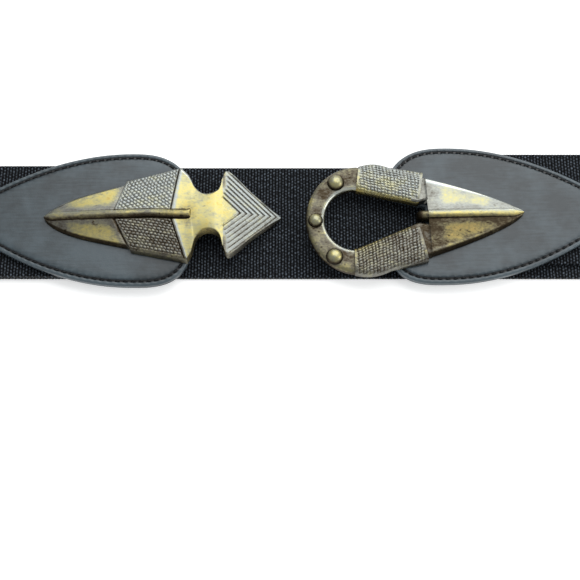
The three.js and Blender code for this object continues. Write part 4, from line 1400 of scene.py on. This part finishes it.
@dataclass
class KeeperLoop:
    """The cast loop: bow with rivets, two cord-bound arms, leaf blade and its nose."""

    place: Place

    def opening_edge(self, x: np.ndarray, apex: float) -> np.ndarray:
        """How far the opening's edge lies off the axis along an arm.

        Args:
            x: place along the loop.
            apex: how far off the axis it ends.

        Returns:
            Distances off the axis.
        """
        share = np.clip((x - OPENING_CENTRE) / (OPENING_END - OPENING_CENTRE), 0, 1)
        slot = np.clip((x - OPENING_END) / SLOT_LENGTH, 0, 1) * SLOT_SPREAD
        return lerp(OPENING_WIDTH / 2, apex, share) + slot

    def outer_edge(self, x: np.ndarray) -> np.ndarray:
        """How far an arm's plain outer edge lies off the axis."""
        return lerp(BOW_WIDTH, ARM_END_WIDTH, np.clip((x - BOW_LENGTH) / ARM_LENGTH, 0, 1)) / 2

    def bow(self) -> bpy.types.Object:
        """Sweeps the bow and the two plain arms beneath the cord, round from the upper arm to the lower one.

        Returns:
            The bow.
        """
        arm = np.linspace(1, 0, 30)[:-1]
        angle = np.linspace(math.pi / 2, 3 * math.pi / 2, 141)
        inner_x, outer_x = lerp(OPENING_CENTRE, OPENING_END, arm), lerp(BOW_LENGTH, OPENING_END, arm)
        outer_arm = np.stack([outer_x, self.outer_edge(outer_x)], axis=1)
        inner_arms = [
            np.stack([inner_x, self.opening_edge(inner_x, apex)], axis=1)
            for apex in (OPENING_APEX_UPPER, OPENING_APEX_LOWER)
        ]
        opening_x = OPENING_CENTRE + (OPENING_CENTRE - OPENING_FRONT) * np.cos(angle)
        inner_bow = np.stack([opening_x, OPENING_WIDTH / 2 * np.sin(angle)], axis=1)
        outer_bow = np.stack([BOW_LENGTH + BOW_LENGTH * np.cos(angle), BOW_WIDTH / 2 * np.sin(angle)], axis=1)
        flip = np.array([1, -1])
        inner = np.concatenate([inner_arms[0], inner_bow, inner_arms[1][::-1] * flip])
        outer = np.concatenate([outer_arm, outer_bow, outer_arm[::-1] * flip])
        width = np.linalg.norm(outer - inner, axis=1)
        t = LOOP_PLATE_THICKNESS
        profile = [
            (0, 0, 0.0, 0.2, 0.3),
            (0, 0, t - 1.5, 0.4, 0.3),
            # The inner bevel is marked 1.0 to 1.4, into the near-white polish: a rubbed edge, pushed brighter
            # as a painted highlight.
            (0.1, 0, t - 1.1, 1.0, 0.35),
            (0.4, 0, t - 0.5, 1.4, 0.3),
            (0.85, 0, t - 0.17, 1.4, 0.3),
            (1.35, 0, t - 0.05, 0.7, 0.2),
            (0, 0.2, t, 0.46, 0.12),
            (0, 0.32, t + 0.05, 0.39, 0.12),
            (0, 0.6, t + 0.05, 0.39, 0.12),
            (0, 0.8, t, 0.45, 0.25),
            (-1.1, 1, t - 0.15, 0.6, 0.35),
            (-0.6, 1, t - 0.5, 0.55, 0.4),
            (-0.2, 1, t - 1.0, 0.45, 0.3),
            (0, 1, t - 1.6, 0.35, 0.3),
            (0, 1, 0.0, 0.25, 0.3),
        ]
        places = np.zeros((len(profile), len(inner), 3))
        bare_and_lit, gilt = np.zeros(places.shape[:2]), np.zeros(places.shape[:2])
        for j, (step, share, height, rubbed, golden) in enumerate(profile):
            at = share + step / width
            places[j, :, :2] = inner + (outer - inner) * at[:, None]
            places[j, :, 2] = height
            bare_and_lit[j], gilt[j] = rubbed, golden
        worn = self.worn_patches(places) * (bare_and_lit > 0.35)
        marks = {"bare_and_lit": bare_and_lit + worn, "gilt": gilt + 1.2 * worn}
        return relief_grid("cast_bow", self.place.world(places), marks)

    def worn_patches(self, places: np.ndarray) -> np.ndarray:
        """Marks where handling has rubbed the bow through to the metal.

        Args:
            places: the bow's points.

        Returns:
            How much more each point is rubbed.
        """
        worn = np.zeros(places.shape[:2])
        for x, y, length, depth in ((3.0, 8.5, 3.5, 0.25), (5.0, -10.0, 4.0, 0.2), (14.5, -21.0, 3.0, 0.15)):
            worn += depth * np.exp(-(np.hypot(places[..., 0] - x, places[..., 1] - y) / length) ** 2)
        return worn

    def cord_section(self) -> np.ndarray:
        """Rounds the cord over an arm: shares across and up, evenly spaced along the curve, and the way gone.

        Returns:
            The shares across, the shares up and the way gone in widths of an arm.
        """
        around = np.linspace(0, math.pi, 400)
        across = 0.5 - 0.5 * np.sign(np.cos(around)) * np.abs(np.cos(around)) ** 0.62
        up = np.abs(np.sin(around)) ** 0.55
        steps = np.hypot(np.diff(across) * ARM_WIDTH, np.diff(up) * ARM_WRAP_HEIGHT)
        gone = np.concatenate([[0], np.cumsum(steps)])
        even = np.linspace(0, gone[-1], 92)
        shares = [np.interp(even, gone, values) for values in (across, up)]
        return np.stack([*shares, even / ARM_WIDTH])[..., None]

    def arm_cord(self, cord: ArmCord) -> bpy.types.Object:
        """Binds cord round one arm: rows of grains along it, between two plain rims.

        Args:
            cord: which arm, and where its cord lies.

        Returns:
            The cord.
        """
        share = np.linspace(0, 1, 130)[None, :]
        across, up, way = self.cord_section()
        inner_x = lerp(cord.inner_start, cord.inner_end, share)
        outer_x = lerp(cord.outer_start, cord.outer_end, share)
        inner_y = self.opening_edge(inner_x, cord.apex) - ARM_WRAP_OVERHANG
        bulge = np.sin(np.pi * np.minimum(share / 0.5, 1)) * ARM_WRAP_BULGE
        outer_y = lerp(BOW_WIDTH, ARM_WRAP_END_WIDTH, share**1.6) / 2 + bulge
        x = lerp(inner_x, outer_x, across)
        ripple = 0.12 * np.sin(share * 40) + 0.1 * np.sin(across * 17)
        cell = grains(x + ripple, way * (outer_y - inner_y) + ripple, ARM_CORD_PITCH, 0.0)
        length = cord.inner_end - cord.inner_start
        left = length * (1 - share)
        held = smoothstep(length * share, 0.7, 1.0) * smoothstep(left, 0.9, 1.2)
        on_top = smoothstep(up, 0.5, 0.8)
        raised = CORD_RELIEF * (cell - 0.5) * held * on_top
        rim = 0.15 * (1 - held) * smoothstep(up, 0.1, 0.4)
        y = cord.half.value * lerp(inner_y - raised * 0.3, outer_y + raised * 0.3, across)
        z = up * (ARM_WRAP_HEIGHT - 0.1) + raised + rim
        upper = cord.half is Half.UPPER
        inside = 1 - smoothstep(across, 0.02, 0.16)
        # The upper arm is marked lighter than the lower one, on the cord and its plain rims: painted light on
        # the arm towards the lamp.
        bound = (0.42 if upper else 0.17) + (0.72 if upper else 0.62) * cell
        bare_and_lit = lerp(0.8 if upper else 0.6, bound, held * on_top) + 0.15 * inside * on_top * cell
        # Walls that face the near side are marked lighter than walls that face away: painted light on the
        # walls that the lamps leave dark.
        bare_and_lit = np.where(up < 0.35, np.where((across < 0.5) == upper, 0.55, 0.4), bare_and_lit)
        gilt = 0.1 + 0.5 * inside + 0.25 * (1 - share) * (1 - across) + 0.1 * (1 - held) * on_top
        places = self.place.world(np.stack([x, y, z], axis=-1))
        return relief_grid("cast_cord", places, {"bare_and_lit": bare_and_lit, "gilt": gilt})

    def blade(self) -> bpy.types.Object:
        """Casts the leaf blade with its ridge.

        Returns:
            The blade.
        """
        towards_tip = 1 - 0.15 * (1 - np.linspace(0, 1, 24)[1:]) ** 1.6 - 0.0008
        share = np.concatenate([np.linspace(0, 0.85, 80), towards_tip])
        x = LOOP_ARM_END + share * LOOP_BLADE_LENGTH
        rows = CastRows(
            x=x,
            half=LOOP_BLADE_WIDTH / 2 * (1 - share) ** 0.68,
            edge=BLADE_EDGE_HEIGHT * (1.35 - 0.7 * share),
            ridge=BLADE_RIDGE_HEIGHT * (LOOP_RIDGE_START - 0.7 * share**1.5),
            bead=BEAD_RISE * (1 - 0.6 * share),
            crown=-0.35 * (1 - share),
            slant=0 * x,
            lean=0 * x,
            sway=0 * x,
            lift=0 * x,
        )
        y, z, k = rows.across(28)
        upper = y > 0
        patch = smoothstep(share, 0.1, 0.2) * (1 - smoothstep(share, 0.45, 0.8)) * smoothstep(k, 0.1, 0.35)
        patch = patch * (1 - 0.6 * smoothstep(k, 0.6, 0.9))
        rim = smoothstep(k, 0.82, 0.92)
        # The upper half is marked lighter than the lower, and its rim is pushed up into the near-white
        # polish: painted light on the half towards the lamp and a painted highlight on its rim.
        bare_and_lit = np.where(upper, 0.68 + 0.1 * smoothstep(share, 0.02, 0.12), 0.38) + 0.18 * patch
        bare_and_lit = bare_and_lit + np.where(upper, 0.75, 0.15) * rim
        gilt = np.where(upper, 0.02 + 0.42 * patch, 0.3 + 0.55 * patch)
        off_top = np.clip(-k, 0, 1)
        # The bead's upper side is marked lighter, into the near-white polish, and loses its gold towards the
        # top; its lower side is marked darker: painted highlight and painted shade.
        loop_bead_light_and_shade = 0.92 + np.where(upper, 0.6 * smoothstep(off_top, 0.35, 0.8), -0.4 * off_top)
        bare_and_lit = np.where(k < 0, loop_bead_light_and_shade, bare_and_lit)
        gilt = np.where(k < 0, np.where(upper, 0.62 - 0.6 * off_top, 0.7), gilt)
        # Both feet of the bead are marked darker as patina in the crease; the lower foot is darker still, a
        # painted shadow under the bead.
        bare_and_lit = np.where((k <= -0.9) | ((k > 0) & (k < 0.03)), np.where(upper, 0.7, 0.12), bare_and_lit)
        # Side walls: the far wall is marked lighter than the near one, painted light and shade by the way
        # each faces.
        bare_and_lit = np.where(k > 1.1, np.where(upper, 0.9, 0.3), bare_and_lit)
        return relief_grid("cast_blade", self.place.world(rows.places(y, z)), {"bare_and_lit": bare_and_lit, "gilt": gilt})

    def cheek(self, cord: ArmCord) -> bpy.types.Object:
        """Joins an arm to the blade between the cord's end and the slot.

        Args:
            cord: which arm it joins.

        Returns:
            The cheek.
        """
        x = np.linspace(cord.inner_end - 3, LOOP_ARM_END + 0.3, 12)[None, :]
        inner, outer = self.opening_edge(x, cord.apex), self.outer_edge(np.minimum(x, LOOP_ARM_END))
        rows_y, rows_z = [inner], [0 * x]
        for share in (0.0, 0.06, 0.12, 0.3, 0.5, 0.7, 0.88, 0.96):
            y = lerp(inner + 0.25, outer - WALL_FLARE, share)
            ridge, edge = BLADE_RIDGE_HEIGHT * LOOP_RIDGE_START, BLADE_EDGE_HEIGHT * 1.35
            top = lerp(ridge, edge, (y - BEAD_WIDTH / 2) / (LOOP_BLADE_WIDTH - BEAD_WIDTH) * 2)
            sunk = 0.45 if share else 1.0
            rows_y.append(y)
            rows_z.append(top - sunk * (1 - smoothstep(x, LOOP_ARM_END - 0.6, LOOP_ARM_END + 0.2)))
        rows_y.append(outer)
        rows_z.append(0 * x)
        y, z = [np.concatenate(rows) for rows in (rows_y, rows_z)]
        # The upper cheek is marked lighter than the lower one: painted light on the side towards the lamp.
        bare_and_lit = 0.66 if cord.half is Half.UPPER else 0.4
        places = np.stack([np.broadcast_to(x, y.shape), cord.half.value * y, z], axis=-1)
        return relief_grid("cast_cheek", self.place.world(places), {"bare_and_lit": bare_and_lit, "gilt": 0.0})

    def nose(self) -> bpy.types.Object:
        """Rounds off the ridge where it stands into the opening.

        Returns:
            The nose.
        """
        along = np.linspace(0, 1, 16)[None, :] ** 1.6 * (NOSE_LENGTH + 0.6)
        around = np.linspace(0, math.pi, 19)[:, None]
        round_off = np.sqrt(1 - np.clip(1 - along / 1.8, 0, 1) ** 2)
        top = BLADE_RIDGE_HEIGHT * LOOP_RIDGE_START + BEAD_RISE
        y = BEAD_WIDTH / 2 * np.cos(around) * (0.45 + 0.55 * round_off)
        z = top * np.sin(around) ** 0.4 * (0.55 + 0.45 * round_off)
        x = LOOP_ARM_END - NOSE_LENGTH + along + 0 * around
        bare_and_lit = 0.15 + 0.4 * smoothstep(along, 0.8, 2.8) + 0 * around
        places = self.place.world(np.stack([x, y, z], axis=-1))
        return relief_grid("cast_nose", places, {"bare_and_lit": bare_and_lit, "gilt": 0.5})

    def rivet(self, spot: RivetSpot) -> bpy.types.Object:
        """Cuts a dome from a ball and sets it on the bow.

        Args:
            spot: the rivet's place and size.

        Returns:
            The rivet.
        """
        deselect_all()
        bpy.ops.mesh.primitive_uv_sphere_add(segments=36, ring_count=22, radius=spot.diameter / 2 * MM)
        obj = named("cast_rivet")
        bpy.ops.object.mode_set(mode="EDIT")
        bpy.ops.mesh.select_all(action="SELECT")
        bpy.ops.mesh.bisect(plane_co=(0, 0, 0), plane_no=(0, 0, 1), clear_inner=True, use_fill=True)
        bpy.ops.object.mode_set(mode="OBJECT")
        points = np.array([v.co for v in obj.data.vertices]) / MM
        share = points[:, 2] / (spot.diameter / 2)
        points[:, 2] = share * (RIVET_HEIGHT + 0.2)
        points += [spot.along, spot.off, LOOP_PLATE_THICKNESS - 0.15]
        set_places(obj, self.place.world(points))
        set_attribute(obj, "bare_and_lit", 0.1 + 0.85 * smoothstep(share, 0.25, 0.95))
        set_attribute(obj, "gilt", 0.5)
        return obj

    def build(self, finishes: Finishes) -> bpy.types.Object:
        """Casts the loop in one piece.

        Args:
            finishes: the belt's materials.

        Returns:
            The loop.
        """
        parts = [self.bow(), self.blade(), self.nose()]
        for cord in ARM_CORDS:
            parts += [self.arm_cord(cord), self.cheek(cord)]
        parts += [self.rivet(spot) for spot in RIVETS]
        obj = joined("cast_keeper_loop", parts)
        smooth(obj, 38)
        return dress(obj, finishes.brass, "antique_brass", "keeper_loop")


@dataclass(frozen=True)
class Studio:
    """The plain pale floor, the soft lamps and the camera."""

    floor_colour: str = "#f5f5f4"
    floor_glow: float = 0.5
    sky_colour: str = "#eef1f5"
    sky_strength: float = 0.55

    def floor(self) -> None:
        """Lays a pale floor that is wider than the view."""
        deselect_all()
        bpy.ops.mesh.primitive_plane_add(size=4.0, location=(0, 0, 0))
        obj = named("floor")
        material = bpy.data.materials.new("backlit_white_acrylic")
        material.use_nodes = True
        shader = material.node_tree.nodes["Principled BSDF"]
        shader.inputs["Base Color"].default_value = linear(self.floor_colour)
        shader.inputs["Roughness"].default_value = 0.9
        shader.inputs["Emission Color"].default_value = linear(self.floor_colour)
        shader.inputs["Emission Strength"].default_value = self.floor_glow
        obj.data.materials.append(material)

    def lamp(self, name: str, spot: tuple[float, float, float], size: float, power: float) -> None:
        """Hangs a square soft lamp that faces the belt.

        Args:
            name: the lamp's name.
            spot: where it hangs, in metres.
            size: its side, in metres.
            power: its power in watts.
        """
        light = bpy.data.lights.new(name, "AREA")
        light.shape = "SQUARE"
        light.size = size
        light.energy = power
        obj = bpy.data.objects.new(name, light)
        bpy.context.scene.collection.objects.link(obj)
        obj.location = spot
        obj.rotation_euler = (-Vector(spot)).to_track_quat("-Z", "Y").to_euler()

    def camera(self) -> None:
        """Stands the camera where the photograph was taken from."""
        tilt = math.radians(CAMERA_TILT)
        aim = Vector((0, CAMERA_AIM + BELT_SHIFT, 0)) * MM
        back = Vector((0, -math.sin(tilt), math.cos(tilt)))
        data = bpy.data.cameras.new("camera")
        data.sensor_width = SENSOR_WIDTH
        data.lens = SENSOR_WIDTH * FOCAL_PIXELS / PHOTO_PIXELS
        data.clip_start = 0.01
        data.clip_end = 20
        obj = bpy.data.objects.new("camera", data)
        obj.location = aim + back * CAMERA_DISTANCE * MM
        obj.rotation_euler = (-back).to_track_quat("-Z", "Y").to_euler()
        bpy.context.scene.collection.objects.link(obj)
        bpy.context.scene.camera = obj

    def build(self) -> None:
        """Sets up the whole studio."""
        self.camera()
        self.floor()
        self.lamp("window", (0.23, 0.72, 0.98), 1.4, 14.4)
        self.lamp("side_fill", (0.95, -0.15, 0.5), 0.5, 3.0)
        world = bpy.data.worlds.new("studio")
        world.use_nodes = True
        background = world.node_tree.nodes["Background"]
        background.inputs["Color"].default_value = linear(self.sky_colour)
        background.inputs["Strength"].default_value = self.sky_strength
        bpy.context.scene.world = world
        bpy.context.scene.view_settings.view_transform = "Standard"


def dress_studs(finishes: Finishes) -> None:
    """Gives the hidden fixings that the frame carries a better metal.

    Args:
        finishes: the belt's materials.
    """
    for name in ("hook_stud_1", "hook_stud_2", "loop_stud_1", "loop_stud_2"):
        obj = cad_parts[name]
        obj.data.materials.clear()
        obj.data.materials.append(finishes.stud)
        log.info("%s: kept from the frame", name)


def main() -> None:
    """Builds the belt piece by piece, then the studio."""
    logging.basicConfig(level=logging.INFO, format="%(name)s %(message)s")
    finishes = Finishes.make()
    Studio().build()
    Webbing().build(finishes)
    left = Place(LEFT_TAB_END, LEFT_TAB_OFFSET + BELT_SHIFT, 0, 180 + LEFT_TAB_TURN)
    right = Place(RIGHT_TAB_END, RIGHT_TAB_OFFSET + BELT_SHIFT, 0, RIGHT_TAB_TURN)
    Tab(Side.LEFT, LEFT_TAB_WIDTH, left, False, NEAR_BLUNT_POWER, FAR_BLUNT_POWER).build(finishes)
    Tab(Side.RIGHT, RIGHT_TAB_WIDTH, right, True, FAR_BLUNT_POWER, NEAR_BLUNT_POWER).build(finishes)
    hook_seat = HOOK_SETBACK + HOOK_WRAP_END
    ArrowHook(left.inside(hook_seat, HOOK_OFFSET, CASTING_Z, 180 + HOOK_TURN)).build(finishes)
    loop_seat = LOOP_SETBACK - LOOP_ARM_END
    KeeperLoop(right.inside(loop_seat, LOOP_OFFSET, CASTING_Z, LOOP_TURN)).build(finishes)
    dress_studs(finishes)


if __name__ == "__main__":
    main()
